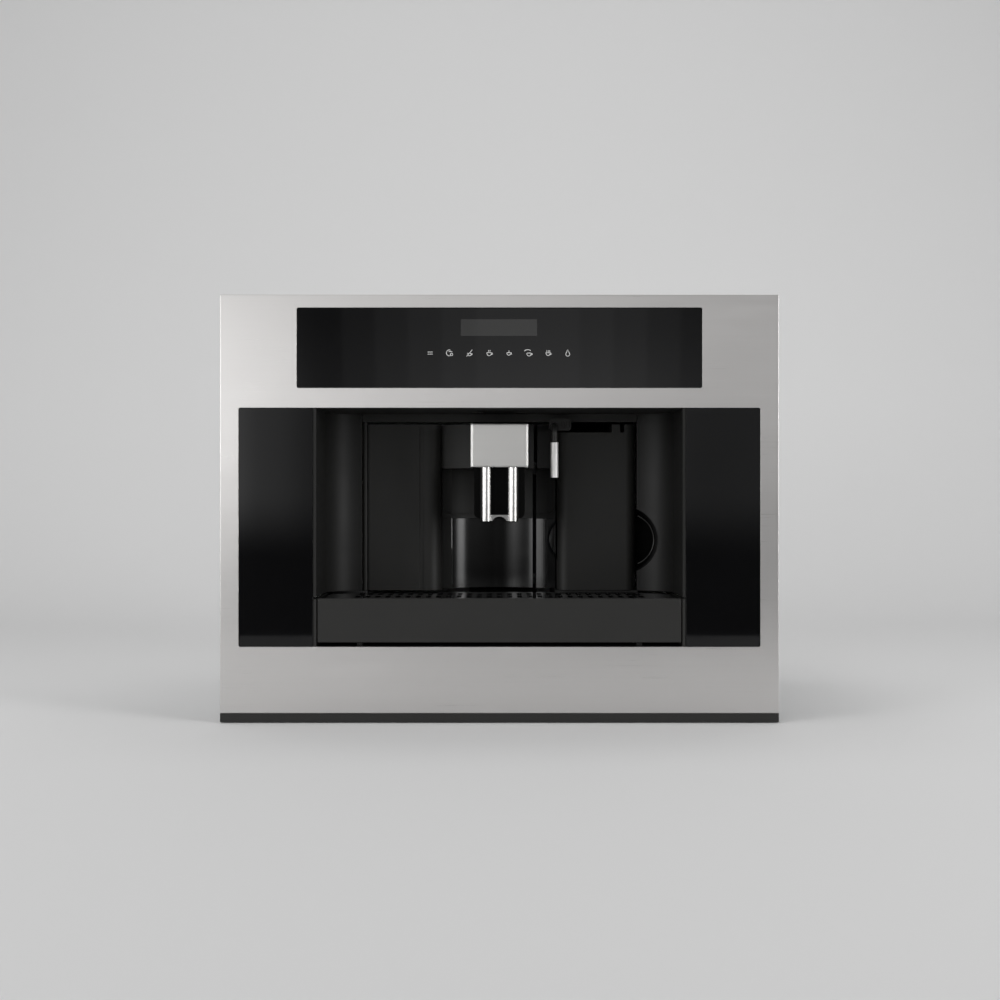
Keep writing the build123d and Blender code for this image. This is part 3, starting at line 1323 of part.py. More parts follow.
lid_t = 2.5
barrel_half = ear_x - ear_t / 2 - rest
with BuildPart() as bean_lid:
    with BuildSketch(Plane.XY.offset(hopper_z1 + rest)):
        area(hopper_x - lid_w / 2, hopper_x + lid_w / 2, lid_y0, lid_y1, 6)
    extrude(amount=lid_t)
    with BuildSketch(Plane.XY.offset(hopper_z1 + rest + lid_t)):
        with Locations((hopper_x, lid_y0 + 24)):
            RectangleRounded(60, 20, 9)
    extrude(amount=-lid_t * 0.5, mode=Mode.SUBTRACT)
    with BuildSketch(side_plane(hopper_x)):
        with Locations((lid_hinge_y, lid_hinge_z)):
            Circle(lid_barrel_r)
        area(lid_y1 - 2, lid_hinge_y, hopper_z1 + rest + 0.5, hopper_z1 + rest + lid_t)
    extrude(amount=barrel_half, both=True)
    with BuildSketch(side_plane(hopper_x)):
        with Locations((lid_hinge_y, lid_hinge_z)):
            Circle(pin_r + fit)
    extrude(amount=barrel_half, both=True, mode=Mode.SUBTRACT)
bean_lid.part.label = "bean_lid"
export_step(bean_lid.part, "parts/bean_lid.step")

knob_r = 15.0
with BuildPart() as grind_knob:
    with BuildSketch(Plane.XY.offset(casing_z1 + rest)):
        with Locations((knob_x, hopper_y)):
            Circle(knob_r)
            with PolarLocations(knob_r + 0.6, 24):
                Circle(1.4, mode=Mode.SUBTRACT)
    extrude(amount=3.4)
    with BuildSketch(Plane.XY.offset(casing_z1 + rest + 3.4)):
        with Locations((knob_x, hopper_y)):
            RectangleRounded(2 * knob_r - 5, 6, 2.5)
    extrude(amount=4)
    with BuildSketch(Plane.XY.offset(casing_z1 + rest)):
        with Locations((knob_x, hopper_y)):
            Circle(8.5)
    extrude(amount=-14)
grind_knob.part.label = "grind_knob"
export_step(grind_knob.part, "parts/grind_knob.step")

# ---------------------------------------------------------------- water circuit and electrics
boiler_x0 = -pan_half + 6
boiler_x1 = boiler_x0 + 56
boiler_d0 = 130.0
boiler_l = 120.0
boiler_z0 = 150.0
boiler_h = 60.0
boiler_in_x = -240.0
boiler_in_y = at(boiler_d0 + 20)
boiler_out_y = at(boiler_d0 + 110)
nipple_r = 4.0
nipple_l = 6.0
hose_r = 4.0
hose_bore = 2.2
with BuildPart() as boiler:
    with BuildSketch(Plane.XY.offset(boiler_z0)):
        area(boiler_x0, boiler_x1, at(boiler_d0), at(boiler_d0 + boiler_l), 8)
    extrude(amount=boiler_h)
    with BuildSketch(Plane.XY.offset(boiler_z0 + 8)):
        with Locations((boiler_x1 - 3, at(boiler_d0 + boiler_l / 2))):
            with GridLocations(0, 14, 1, 7):
                Rectangle(8, 6)
    extrude(amount=boiler_h - 16, mode=Mode.SUBTRACT)
    # feet on the side panel
    with BuildSketch(side_plane(-pan_half)):
        with Locations((at(boiler_d0 + boiler_l / 2), boiler_z0 + boiler_h / 2)):
            with GridLocations(80, 30, 2, 2):
                Circle(5)
    extrude(amount=boiler_x0 + pan_half + 4)
    for y, z, up in ((boiler_in_y, boiler_z0, -1), (boiler_out_y, boiler_z0 + boiler_h, 1)):
        with BuildSketch(Plane.XY.offset(z)):
            with Locations((boiler_in_x, y)):
                Circle(nipple_r)
        extrude(amount=up * nipple_l)
        with BuildSketch(Plane.XY.offset(z + up * nipple_l)):
            with Locations((boiler_in_x, y)):
                Circle(hose_bore)
        extrude(amount=-up * 2 * nipple_l, mode=Mode.SUBTRACT)
boiler.part.label = "boiler"
export_step(boiler.part, "parts/boiler.step")

pump_x = lip_half + 34.0
pump_z = 82.0
pump_r = 19.0
pump_d0 = 154.0
pump_l = 76.0
with BuildPart() as pump:
    with BuildSketch(front_plane(pump_d0)):
        with Locations((pump_x, pump_z)):
            Circle(pump_r)
    extrude(amount=-pump_l)
    with BuildSketch(front_plane(pump_d0 + 18)):
        with Locations((pump_x, pump_z)):
            RectangleRounded(2 * pump_r + 8, 2 * pump_r + 8, 3)
    extrude(amount=-(pump_l - 36))
    with BuildSketch(front_plane(pump_d0 - nipple_l)):
        with Locations((pump_x, pump_z)):
            Circle(nipple_r)
    extrude(amount=-(pump_l + 2 * nipple_l))
    with BuildSketch(Plane.XY.offset(casing_z0 + pan_t)):
        with Locations((pump_x, at(pump_d0 + pump_l / 2))):
            with GridLocations(28, 34, 2, 2):
                Circle(4.5)
    extrude(amount=pump_z - pump_r - casing_z0 - pan_t)
pump.part.label = "pump"
export_step(pump.part, "parts/pump.step")

board_x = -pan_half + 8
with BuildPart() as power_board:
    with BuildSketch(side_plane(board_x)):
        area(at(150), at(340), 250, 420, 3)
    extrude(amount=1.6)
    with BuildSketch(side_plane(-pan_half)):
        with Locations((at(245), 335)):
            with GridLocations(170, 150, 2, 2):
                Circle(3.5)
    extrude(amount=board_x + pan_half)
    for y, z, wide, high, deep in ((at(185), 290, 44, 38, 30), (at(300), 300, 26, 26, 18),
                                   (at(260), 390, 60, 30, 22), (at(190), 385, 24, 24, 16)):
        with BuildSketch(side_plane(board_x + 1.6)):
            with Locations((y, z)):
                RectangleRounded(wide, high, 2)
        extrude(amount=deep)
power_board.part.label = "power_board"
export_step(power_board.part, "parts/power_board.step")

coupling_back = at(tank_back + bay_gap + 16)
brew_in_x = brew_x - brew_bore_r - cyl_wall
brew_in_z = brew_z1 - plate_t - 12
hose_low = 62.0
hose_rear = at(tank_back + 52)
hose_side = at(brew_depth0 + 64)
hose_routes = (
    # tank to pump
    ((coupling_x, coupling_back, coupling_z), (coupling_x, hose_rear, coupling_z), (pump_x, hose_rear, coupling_z),
     (pump_x, hose_rear, pump_z), (pump_x, at(pump_d0 + pump_l + nipple_l), pump_z)),
    # pump to boiler, under the tray bay
    ((pump_x, at(pump_d0 - nipple_l), pump_z), (pump_x, at(120), pump_z), (pump_x, at(120), hose_low),
     (boiler_in_x, at(120), hose_low), (boiler_in_x, boiler_in_y, hose_low),
     (boiler_in_x, boiler_in_y, boiler_z0 - nipple_l)),
    # boiler to brewing cylinder
    ((boiler_in_x, boiler_out_y, boiler_z0 + boiler_h + nipple_l), (boiler_in_x, boiler_out_y, brew_in_z),
     (brew_in_x - 34, boiler_out_y, brew_in_z), (brew_in_x - 34, cyl_y, brew_in_z), (brew_in_x, cyl_y, brew_in_z)),
)
with BuildPart() as water_hoses:
    for route in hose_routes:
        with BuildLine() as hose_path:
            FilletPolyline(*route, radius=9.5)
        with BuildSketch(Plane(origin=hose_path.line @ 0, z_dir=hose_path.line % 0)):
            Circle(hose_r)
            Circle(hose_bore, mode=Mode.SUBTRACT)
        sweep(path=hose_path.line)
water_hoses.part.label = "water_hoses"
export_step(water_hoses.part, "parts/water_hoses.step")

rocker_z = inlet_z + 14.0
rocker_w = 19.0
rocker_h = 12.0
socket_z = inlet_z - 8.0
flange_t = 2.5
with BuildPart() as power_inlet:
    with BuildSketch(front_plane(casing_d)):
        with Locations((inlet_x, inlet_z)):
            RectangleRounded(inlet_w + 12, inlet_h + 8, 4)
    extrude(amount=-flange_t)
    with BuildSketch(front_plane(casing_d)):
        with Locations((inlet_x, inlet_z)):
            Rectangle(inlet_w - 0.4, inlet_h - 0.4)
    extrude(amount=26)
    # socket for the mains lead, with its three pins
    with BuildSketch(front_plane(casing_d + flange_t)):
        with Locations((inlet_x, socket_z)):
            RectangleRounded(24, 16.5, 2.5)
    extrude(amount=18, mode=Mode.SUBTRACT)
    with BuildSketch(front_plane(casing_d - 3)):
        with Locations((inlet_x - 7, socket_z - 2), (inlet_x, socket_z + 2), (inlet_x + 7, socket_z - 2)):
            Rectangle(2, 4)
    extrude(amount=14)
    # well of the mains switch
    with BuildSketch(front_plane(casing_d + flange_t)):
        with Locations((inlet_x, rocker_z)):
            Rectangle(rocker_w + 2 * rest, rocker_h + 3)
    extrude(amount=14, mode=Mode.SUBTRACT)
    with BuildSketch(side_plane(inlet_x)):
        with Locations((at(casing_d - 1), rocker_z)):
            Circle(pin_r + fit)
    extrude(amount=rocker_w / 2 + 1.8, both=True, mode=Mode.SUBTRACT)
power_inlet.part.label = "power_inlet"
export_step(power_inlet.part, "parts/power_inlet.step")

with BuildPart() as mains_rocker:
    with BuildSketch(side_plane(inlet_x)):
        with BuildLine():
            Polyline((at(casing_d - 6), rocker_z - 3.5), (at(casing_d + 1), rocker_z - rocker_h / 2),
                     (at(casing_d + 4), rocker_z - rocker_h / 2))
            ThreePointArc((at(casing_d + 4), rocker_z - rocker_h / 2), (at(casing_d + 2.8), rocker_z),
                          (at(casing_d + 4), rocker_z + rocker_h / 2))
            Polyline((at(casing_d + 4), rocker_z + rocker_h / 2), (at(casing_d + 1), rocker_z + rocker_h / 2),
                     (at(casing_d - 6), rocker_z + 3.5), (at(casing_d - 6), rocker_z - 3.5))
        make_face()
    extrude(amount=rocker_w / 2, both=True)
    with BuildSketch(side_plane(inlet_x)):
        with Locations((at(casing_d - 1), rocker_z)):
            Circle(pin_r)
    extrude(amount=rocker_w / 2 + 1.5, both=True)
mains_rocker.part.label = "mains_rocker"
export_step(mains_rocker.part, "parts/mains_rocker.step")
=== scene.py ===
"""Looks of the built in coffee machine: finishes, printed marks, small fasteners, floor, light and camera."""
import json
import math

import bmesh
import bpy
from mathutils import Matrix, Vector


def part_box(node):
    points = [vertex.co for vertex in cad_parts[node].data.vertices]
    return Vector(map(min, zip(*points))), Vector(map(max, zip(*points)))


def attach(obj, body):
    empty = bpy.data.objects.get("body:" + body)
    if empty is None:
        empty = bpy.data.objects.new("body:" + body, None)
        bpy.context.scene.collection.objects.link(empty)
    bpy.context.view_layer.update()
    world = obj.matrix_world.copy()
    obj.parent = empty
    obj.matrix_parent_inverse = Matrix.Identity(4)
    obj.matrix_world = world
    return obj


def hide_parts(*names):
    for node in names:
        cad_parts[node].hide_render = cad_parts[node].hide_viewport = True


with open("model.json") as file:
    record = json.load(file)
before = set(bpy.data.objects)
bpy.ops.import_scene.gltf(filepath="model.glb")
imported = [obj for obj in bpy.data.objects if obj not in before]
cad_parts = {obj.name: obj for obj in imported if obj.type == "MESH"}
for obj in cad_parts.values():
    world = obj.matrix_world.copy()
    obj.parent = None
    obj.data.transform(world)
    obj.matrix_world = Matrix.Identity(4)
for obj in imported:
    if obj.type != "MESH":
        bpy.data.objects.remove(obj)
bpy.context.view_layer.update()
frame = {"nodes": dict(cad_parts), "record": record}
nodes = frame["nodes"]

# places that the pieces share, in metres
FRONT_Y = -0.199                 # steel face
GLASS_Y = FRONT_Y + 0.0006       # front of the control glass, which is set back a little
TOP_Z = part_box("top_cover")[1].z
REAR_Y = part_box("left_side_panel")[1].y
CASING_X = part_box("top_cover")[1].x

# ------------------------------------------------------------------ shared surface effects


def new_group(name, inputs, outputs):
    """An empty shader node group with number inputs; each output is 'value' or 'normal'."""
    group = bpy.data.node_groups.new(name, "ShaderNodeTree")
    for label, start in inputs:
        socket = group.interface.new_socket(name=label, in_out="INPUT", socket_type="NodeSocketFloat")
        socket.default_value = start
    for label, kind in outputs:
        socket_type = "NodeSocketVector" if kind == "normal" else "NodeSocketFloat"
        group.interface.new_socket(name=label, in_out="OUTPUT", socket_type=socket_type)
    entry = group.nodes.new("NodeGroupInput")
    leave = group.nodes.new("NodeGroupOutput")
    return group, entry, leave


def math_node(tree, operation, first, second=None, clamp=False):
    """A Math node; each argument is a number or a socket."""
    node = tree.nodes.new("ShaderNodeMath")
    node.operation = operation
    node.use_clamp = clamp
    for socket, value in zip(node.inputs, (first, second)):
        if value is None:
            continue
        if isinstance(value, (int, float)):
            socket.default_value = value
        else:
            tree.links.new(value, socket)
    return node.outputs[0]


def noise_node(tree, scale, detail=3.0, stretch=(1.0, 1.0, 1.0), rough=0.55):
    """Noise in the object's own metres, stretched along its axes. scale is a number or a socket."""
    place = tree.nodes.new("ShaderNodeTexCoord")
    mapping = tree.nodes.new("ShaderNodeMapping")
    mapping.inputs["Scale"].default_value = stretch
    tree.links.new(place.outputs["Object"], mapping.inputs["Vector"])
    noise = tree.nodes.new("ShaderNodeTexNoise")
    noise.inputs["Detail"].default_value = detail
    noise.inputs["Roughness"].default_value = rough
    if isinstance(scale, (int, float)):
        noise.inputs["Scale"].default_value = scale
    else:
        tree.links.new(scale, noise.inputs["Scale"])
    tree.links.new(mapping.outputs["Vector"], noise.inputs["Vector"])
    return noise.outputs["Fac"]


def build_mould_grain():
    """Fine spark-eroded grain of a moulded part."""
    group, entry, leave = new_group(
        "mould_grain", [("Scale", 900.0), ("Depth", 1.0)], [("Height", "value"), ("Shade", "value")])
    fine = noise_node(group, entry.outputs["Scale"], 2.0)
    wide = noise_node(group, 14.0, 2.0)
    height = math_node(group, "MULTIPLY", fine, entry.outputs["Depth"])
    group.links.new(height, leave.inputs["Height"])
    mixed = math_node(group, "ADD", math_node(group, "MULTIPLY", fine, 0.4), math_node(group, "MULTIPLY", wide, 0.6))
    group.links.new(mixed, leave.inputs["Shade"])
    return group


def build_brushing():
    """Long fine scratches along the machine's width."""
    group, entry, leave = new_group(
        "brushing", [("Scale", 1.0), ("Depth", 1.0)], [("Height", "value"), ("Shade", "value")])
    hair = noise_node(group, entry.outputs["Scale"], 4.0, (10.0, 10.0, 5200.0), 0.7)
    band = noise_node(group, entry.outputs["Scale"], 3.0, (3.0, 3.0, 700.0), 0.6)
    both = math_node(group, "ADD", math_node(group, "MULTIPLY", hair, 0.65), math_node(group, "MULTIPLY", band, 0.35))
    group.links.new(math_node(group, "MULTIPLY", both, entry.outputs["Depth"]), leave.inputs["Height"])
    group.links.new(both, leave.inputs["Shade"])
    return group


FILM_MEAN = 0.24                 # mean of the film's two noises multiplied


def build_touch_film():
    """Faint wiped patches that a cloth and fingers leave on smooth surfaces."""
    group, entry, leave = new_group("touch_film", [("Amount", 0.1)], [("Haze", "value")])
    patch = noise_node(group, 9.0, 3.0, (1.0, 1.0, 2.2))
    streak = noise_node(group, 60.0, 3.0, (0.35, 0.35, 2.4))
    both = math_node(group, "MULTIPLY", patch, streak)
    centred = math_node(group, "SUBTRACT", both, FILM_MEAN)
    group.links.new(math_node(group, "MULTIPLY", centred, entry.outputs["Amount"]), leave.inputs["Haze"])
    return group


def build_soft_edge():
    """Rounds an edge in the shading and finds where it is rubbed."""
    group, entry, leave = new_group(
        "soft_edge", [("Radius", 0.0004), ("Rub", 1.0)], [("Normal", "normal"), ("Rubbed", "value")])
    bevel = group.nodes.new("ShaderNodeBevel")
    bevel.samples = 4
    group.links.new(entry.outputs["Radius"], bevel.inputs["Radius"])
    face = group.nodes.new("ShaderNodeNewGeometry")
    dot = group.nodes.new("ShaderNodeVectorMath")
    dot.operation = "DOT_PRODUCT"
    group.links.new(bevel.outputs["Normal"], dot.inputs[0])
    group.links.new(face.outputs["Normal"], dot.inputs[1])
    turned = math_node(group, "SUBTRACT", 1.0, dot.outputs["Value"], clamp=True)
    sharp = math_node(group, "MULTIPLY", turned, 3.0, clamp=True)
    broken = noise_node(group, 160.0, 4.0)
    worn = math_node(group, "MULTIPLY", sharp, math_node(group, "MULTIPLY", broken, entry.outputs["Rub"]), clamp=True)
    group.links.new(bevel.outputs["Normal"], leave.inputs["Normal"])
    group.links.new(worn, leave.inputs["Rubbed"])
    return group


def build_settled_dust():
    """Thin dust where a surface faces up."""
    group, entry, leave = new_group("settled_dust", [("Amount", 0.1)], [("Cover", "value")])
    face = group.nodes.new("ShaderNodeNewGeometry")
    split = group.nodes.new("ShaderNodeSeparateXYZ")
    group.links.new(face.outputs["Normal"], split.inputs[0])
    upward = math_node(group, "MULTIPLY", split.outputs["Z"], 1.0, clamp=True)
    patch = noise_node(group, 26.0, 5.0)
    cover = math_node(group, "MULTIPLY", upward, math_node(group, "MULTIPLY", patch, entry.outputs["Amount"]))
    group.links.new(cover, leave.inputs["Cover"])
    return group


MOULD_GRAIN = build_mould_grain()
BRUSHING = build_brushing()
TOUCH_FILM = build_touch_film()
SOFT_EDGE = build_soft_edge()
SETTLED_DUST = build_settled_dust()

# ------------------------------------------------------------------ finishes


def place_group(tree, group, **values):
    node = tree.nodes.new("ShaderNodeGroup")
    node.node_tree = group
    for label, value in values.items():
        node.inputs[label].default_value = value
    return node


def mix_colour(tree, share, first, second):
    """Mixes two colours; each is a tuple or a socket."""
    node = tree.nodes.new("ShaderNodeMix")
    node.data_type = "RGBA"
    tree.links.new(share, node.inputs["Factor"])
    for socket, value in ((node.inputs[6], first), (node.inputs[7], second)):
        if isinstance(value, tuple):
            socket.default_value = (*value, 1.0)
        else:
            tree.links.new(value, socket)
    return node.outputs[2]


DUST_COLOUR = (0.42, 0.40, 0.37)
LACQUER_ROUGH = 0.06
RUB_LIGHTENS = 1.5               # of an edge whose rubbed colour isn't given


def tinted(colour, factor):
    return tuple(min(1.0, part * factor) for part in colour)


def make_finish(name, colour, rough, texture=MOULD_GRAIN, texture_scale=900.0, texture_depth=1.0,
                bump_height=0.00003, rough_swing=0.12, colour_swing=0.10, haze=0.1, edge=0.0004, rub=0.5,
                rubbed_colour=None, dust=0.05, metal=0.0, specular=0.5, clear=0.0, bend=1.5, lacquer=0.0,
                stretch=0.0):
    """A finish with its texture, wiped haze, soft rubbed edges and a little dust.

    Depths, edges and bump heights are in metres; a swing is the share by which the texture changes a value.
    """
    material = bpy.data.materials.new(name)
    material.use_nodes = True
    tree = material.node_tree
    shader = tree.nodes["Principled BSDF"]
    shader.inputs["Metallic"].default_value = metal
    shader.inputs["Specular IOR Level"].default_value = specular
    shader.inputs["IOR"].default_value = bend
    shader.inputs["Transmission Weight"].default_value = clear
    shader.inputs["Coat Weight"].default_value = lacquer
    shader.inputs["Coat Roughness"].default_value = LACQUER_ROUGH
    shader.inputs["Anisotropic"].default_value = stretch
    surface = place_group(tree, texture, Scale=texture_scale, Depth=texture_depth)
    film = place_group(tree, TOUCH_FILM, Amount=haze)
    corner = place_group(tree, SOFT_EDGE, Radius=edge, Rub=rub)
    settled = place_group(tree, SETTLED_DUST, Amount=dust)
    shade = surface.outputs["Shade"]
    base = mix_colour(tree, shade, tinted(colour, 1 - colour_swing), tinted(colour, 1 + colour_swing))
    base = mix_colour(tree, corner.outputs["Rubbed"], base, rubbed_colour or tinted(colour, RUB_LIGHTENS))
    base = mix_colour(tree, settled.outputs["Cover"], base, DUST_COLOUR)
    tree.links.new(base, shader.inputs["Base Color"])
    swing = math_node(tree, "MULTIPLY", math_node(tree, "SUBTRACT", shade, 0.5), rough_swing)
    hazed = math_node(tree, "ADD", swing, film.outputs["Haze"])
    tree.links.new(math_node(tree, "ADD", hazed, rough, clamp=True), shader.inputs["Roughness"])
    bump = tree.nodes.new("ShaderNodeBump")
    bump.inputs["Distance"].default_value = bump_height
    tree.links.new(surface.outputs["Height"], bump.inputs["Height"])
    tree.links.new(corner.outputs["Normal"], bump.inputs["Normal"])
    tree.links.new(bump.outputs["Normal"], shader.inputs["Normal"])
    return material


def height_step(tree, axis, place, width):
    """0 below a place along an object axis, in metres, and 1 above it, over a soft width."""
    spot = tree.nodes.new("ShaderNodeTexCoord")
    split = tree.nodes.new("ShaderNodeSeparateXYZ")
    tree.links.new(spot.outputs["Object"], split.inputs[0])
    step = tree.nodes.new("ShaderNodeMapRange")
    step.interpolation_type = "SMOOTHSTEP"
    step.inputs["From Min"].default_value = place - width / 2
    step.inputs["From Max"].default_value = place + width / 2
    tree.links.new(split.outputs[axis], step.inputs["Value"])
    return step.outputs["Result"]


def relink_mix(material, socket_name, share, colour):
    """Mixes a colour over what already feeds a colour socket of the shader."""
    tree = material.node_tree
    socket = tree.nodes["Principled BSDF"].inputs[socket_name]
    before = socket.links[0].from_socket
    tree.links.new(mix_colour(tree, share, before, colour), socket)


SLEEVE_TOP = 0.3020              # the bright sleeve ends here and the dark pipe starts
SLEEVE_METAL = 0.55              # the satin sleeve is only partly a mirror
DARK_PIPE = (0.020, 0.020, 0.019)


def make_pipe_finish():
    """Bright satin sleeve below, dark plastic pipe above."""
    material = make_finish(
        "satin_sleeve_and_dark_pipe", (0.94, 0.93, 0.92), 0.48, texture=BRUSHING, texture_scale=0.3,
        texture_depth=0.4, bump_height=0.00001, rough_swing=0.08, colour_swing=0.03, haze=0.06, edge=0.0008,
        rub=0.3, rubbed_colour=(0.92, 0.92, 0.92), dust=0.01)
    tree = material.node_tree
    above = height_step(tree, "Z", SLEEVE_TOP, 0.0003)
    relink_mix(material, "Base Color", above, DARK_PIPE)
    below = math_node(tree, "SUBTRACT", 1.0, above)
    metal = math_node(tree, "MULTIPLY", below, SLEEVE_METAL)
    tree.links.new(metal, tree.nodes["Principled BSDF"].inputs["Metallic"])
    return material


COLLAR_Z = 0.2155                # the fixed side panel is gloss below the collar and matte above it
COLLAR_MATTE = (0.0045, 0.0045, 0.0042)
COLLAR_ROUGHER = 0.45


def roughen(material, share, amount):
    """Adds to the roughness where share is 1."""
    tree = material.node_tree
    socket = tree.nodes["Principled BSDF"].inputs["Roughness"]
    before = socket.links[0].from_socket
    extra = math_node(tree, "MULTIPLY", share, amount)
    tree.links.new(math_node(tree, "ADD", before, extra, clamp=True), socket)


def make_niche_gloss(name, matte_above):
    """Gloss black of the cup niche, matte above the collar where asked."""
    material = make_finish(
        name, (0.0020, 0.0020, 0.0020), 0.15, texture_scale=40.0, texture_depth=0.4, bump_height=0.00001,
        rough_swing=0.04, colour_swing=0.2, edge=0.0006, rub=0.3, rubbed_colour=(0.04, 0.04, 0.04), dust=0.01,
        specular=0.30)
    if matte_above:
        tree = material.node_tree
        above = height_step(tree, "Z", COLLAR_Z, 0.0005)
        relink_mix(material, "Base Color", above, COLLAR_MATTE)
        roughen(material, above, COLLAR_ROUGHER)
    return material


POCKET_Y = FRONT_Y + 0.1115      # the finger pocket is painted darker from here on back, as painted shade
POCKET_PAINTED_SHADE = (0.0008, 0.0008, 0.0008)
POCKET_ROUGHER = 0.4


def make_pocket_shade_finish():
    """Grained black wall whose finger pocket is rougher and painted deep black as painted shade."""
    material = make_finish(
        "grained_wall_with_painted_pocket_shade", (0.0085, 0.0084, 0.0080), 0.54, texture_scale=1400.0, bump_height=0.00004,
        rough_swing=0.14, colour_swing=0.14, haze=0.14, edge=0.0006, rub=0.35, rubbed_colour=(0.040, 0.039, 0.037),
        dust=0.02, specular=0.32)
    tree = material.node_tree
    behind = height_step(tree, "Y", POCKET_Y, 0.002)
    # painted shade: the pocket's colour is darkened to deep black to stand in for the shade inside it
    relink_mix(material, "Base Color", behind, POCKET_PAINTED_SHADE)
    roughen(material, behind, POCKET_ROUGHER)
    return material


FINISHES = {
    "front_steel": make_finish(
        "brushed_front_steel", (0.60, 0.588, 0.580), 0.30, texture=BRUSHING, texture_scale=1.0, bump_height=0.00002,
        rough_swing=0.16, colour_swing=0.05, edge=0.0006, rubbed_colour=(0.86, 0.85, 0.83), dust=0.03, metal=1.0,
        stretch=0.55),
    "sheet_steel": make_finish(
        "galvanised_sheet", (0.52, 0.53, 0.53), 0.42, texture_scale=60.0, rough_swing=0.30, colour_swing=0.14,
        haze=0.2, edge=0.0005, rub=0.6, rubbed_colour=(0.75, 0.75, 0.75), dust=0.14, metal=0.9),
    "runner_steel": make_finish(
        "zinc_plated_runner", (0.50, 0.52, 0.54), 0.30, texture=BRUSHING, texture_scale=0.4, bump_height=0.00001,
        rough_swing=0.2, colour_swing=0.08, haze=0.2, edge=0.0003, rub=0.6, rubbed_colour=(0.72, 0.73, 0.74),
        dust=0.06, metal=1.0),
    "black_glass": make_finish(
        "black_backed_glass", (0.0035, 0.0035, 0.0038), 0.035, texture_scale=30.0, texture_depth=0.2,
        bump_height=0.000004, rough_swing=0.01, colour_swing=0.2, haze=0.05, rub=0.15,
        rubbed_colour=(0.05, 0.05, 0.05), dust=0.01, specular=0.30),
    "black_matte": make_finish(
        "grained_black_moulding", (0.0165, 0.0163, 0.0153), 0.54, texture_scale=1400.0, bump_height=0.00004,
        rough_swing=0.14, colour_swing=0.14, haze=0.14, edge=0.0006, rub=0.35, rubbed_colour=(0.040, 0.039, 0.037),
        dust=0.02, specular=0.32),
    "black_gloss": make_finish(
        "gloss_black_moulding", (0.004, 0.004, 0.0042), 0.09, texture_scale=40.0, texture_depth=0.4,
        bump_height=0.00001, rough_swing=0.04, colour_swing=0.2, edge=0.0006, rub=0.3,
        rubbed_colour=(0.04, 0.04, 0.04), dust=0.02, lacquer=0.35),
    "grey_plastic": make_finish(
        "grey_glass_filled_moulding", (0.085, 0.087, 0.09), 0.5, texture_scale=420.0, bump_height=0.00006,
        rough_swing=0.2, colour_swing=0.2, edge=0.0006, rubbed_colour=(0.16, 0.16, 0.17), dust=0.08),
    "satin_metal": make_finish(
        "satin_spout_cover", (0.66, 0.655, 0.64), 0.34, texture=BRUSHING, texture_scale=0.25, texture_depth=0.6,
        bump_height=0.00001, rough_swing=0.10, colour_swing=0.04, haze=0.08, edge=0.0030, rub=0.3,
        rubbed_colour=(0.9, 0.9, 0.88), dust=0.01, metal=1.0, stretch=0.3),
    "chrome_tube": make_finish(
        "polished_tube", (0.64, 0.635, 0.625), 0.16, texture_scale=90.0, texture_depth=0.3, bump_height=0.00001,
        rough_swing=0.05, colour_swing=0.03, haze=0.06, edge=0.0005, rub=0.3, rubbed_colour=(0.92, 0.92, 0.92),
        dust=0.01, metal=1.0),
    "clear_plastic": make_finish(
        "clear_tank_moulding", (0.62, 0.68, 0.70), 0.06, texture_scale=35.0, texture_depth=0.5, rough_swing=0.05,
        colour_swing=0.06, haze=0.08, edge=0.0006, rub=0.3, rubbed_colour=(0.9, 0.95, 0.97), dust=0.02, clear=0.85,
        bend=1.49),
    "smoke_plastic": make_finish(
        "smoked_hopper_moulding", (0.10, 0.088, 0.078), 0.08, texture_scale=35.0, texture_depth=0.5,
        rough_swing=0.05, colour_swing=0.08, edge=0.0006, rub=0.3, rubbed_colour=(0.3, 0.28, 0.26), dust=0.04,
        clear=0.75, bend=1.49),
    "lamp_lens": make_finish(
        "smoked_lamp_lens", (0.045, 0.045, 0.043), 0.22, texture_scale=700.0, bump_height=0.00005, rough_swing=0.1,
        colour_swing=0.05, haze=0.05, rub=0.1, rubbed_colour=(0.2, 0.2, 0.19), dust=0.0),
    "circuit_board": make_finish(
        "lacquered_circuit_board", (0.012, 0.075, 0.030), 0.32, texture_scale=120.0, bump_height=0.00008,
        rough_swing=0.2, colour_swing=0.3, edge=0.0003, rubbed_colour=(0.35, 0.28, 0.10)),
    "cast_block": make_finish(
        "die_cast_block", (0.42, 0.43, 0.44), 0.52, texture_scale=260.0, bump_height=0.00012, rough_swing=0.3,
        colour_swing=0.14, edge=0.0010, rub=0.6, rubbed_colour=(0.66, 0.66, 0.67), dust=0.06, metal=0.85),
    "burr_steel": make_finish(
        "ground_burr_steel", (0.40, 0.40, 0.40), 0.26, texture=BRUSHING, texture_scale=0.6, rough_swing=0.2,
        rub=0.7, rubbed_colour=(0.75, 0.75, 0.75), dust=0.02, metal=1.0),
    "hose": make_finish(
        "milky_silicone_hose", (0.55, 0.54, 0.50), 0.38, texture_scale=200.0, texture_depth=0.6,
        bump_height=0.00004, rough_swing=0.1, colour_swing=0.08, edge=0.0006, rub=0.2,
        rubbed_colour=(0.65, 0.64, 0.6), dust=0.06, clear=0.2),
    "white_plastic": make_finish(
        "off_white_moulding", (0.62, 0.61, 0.57), 0.42, texture_scale=600.0, bump_height=0.00005, rough_swing=0.14,
        colour_swing=0.06, edge=0.0006, rub=0.3, rubbed_colour=(0.75, 0.74, 0.7), dust=0.06),
}

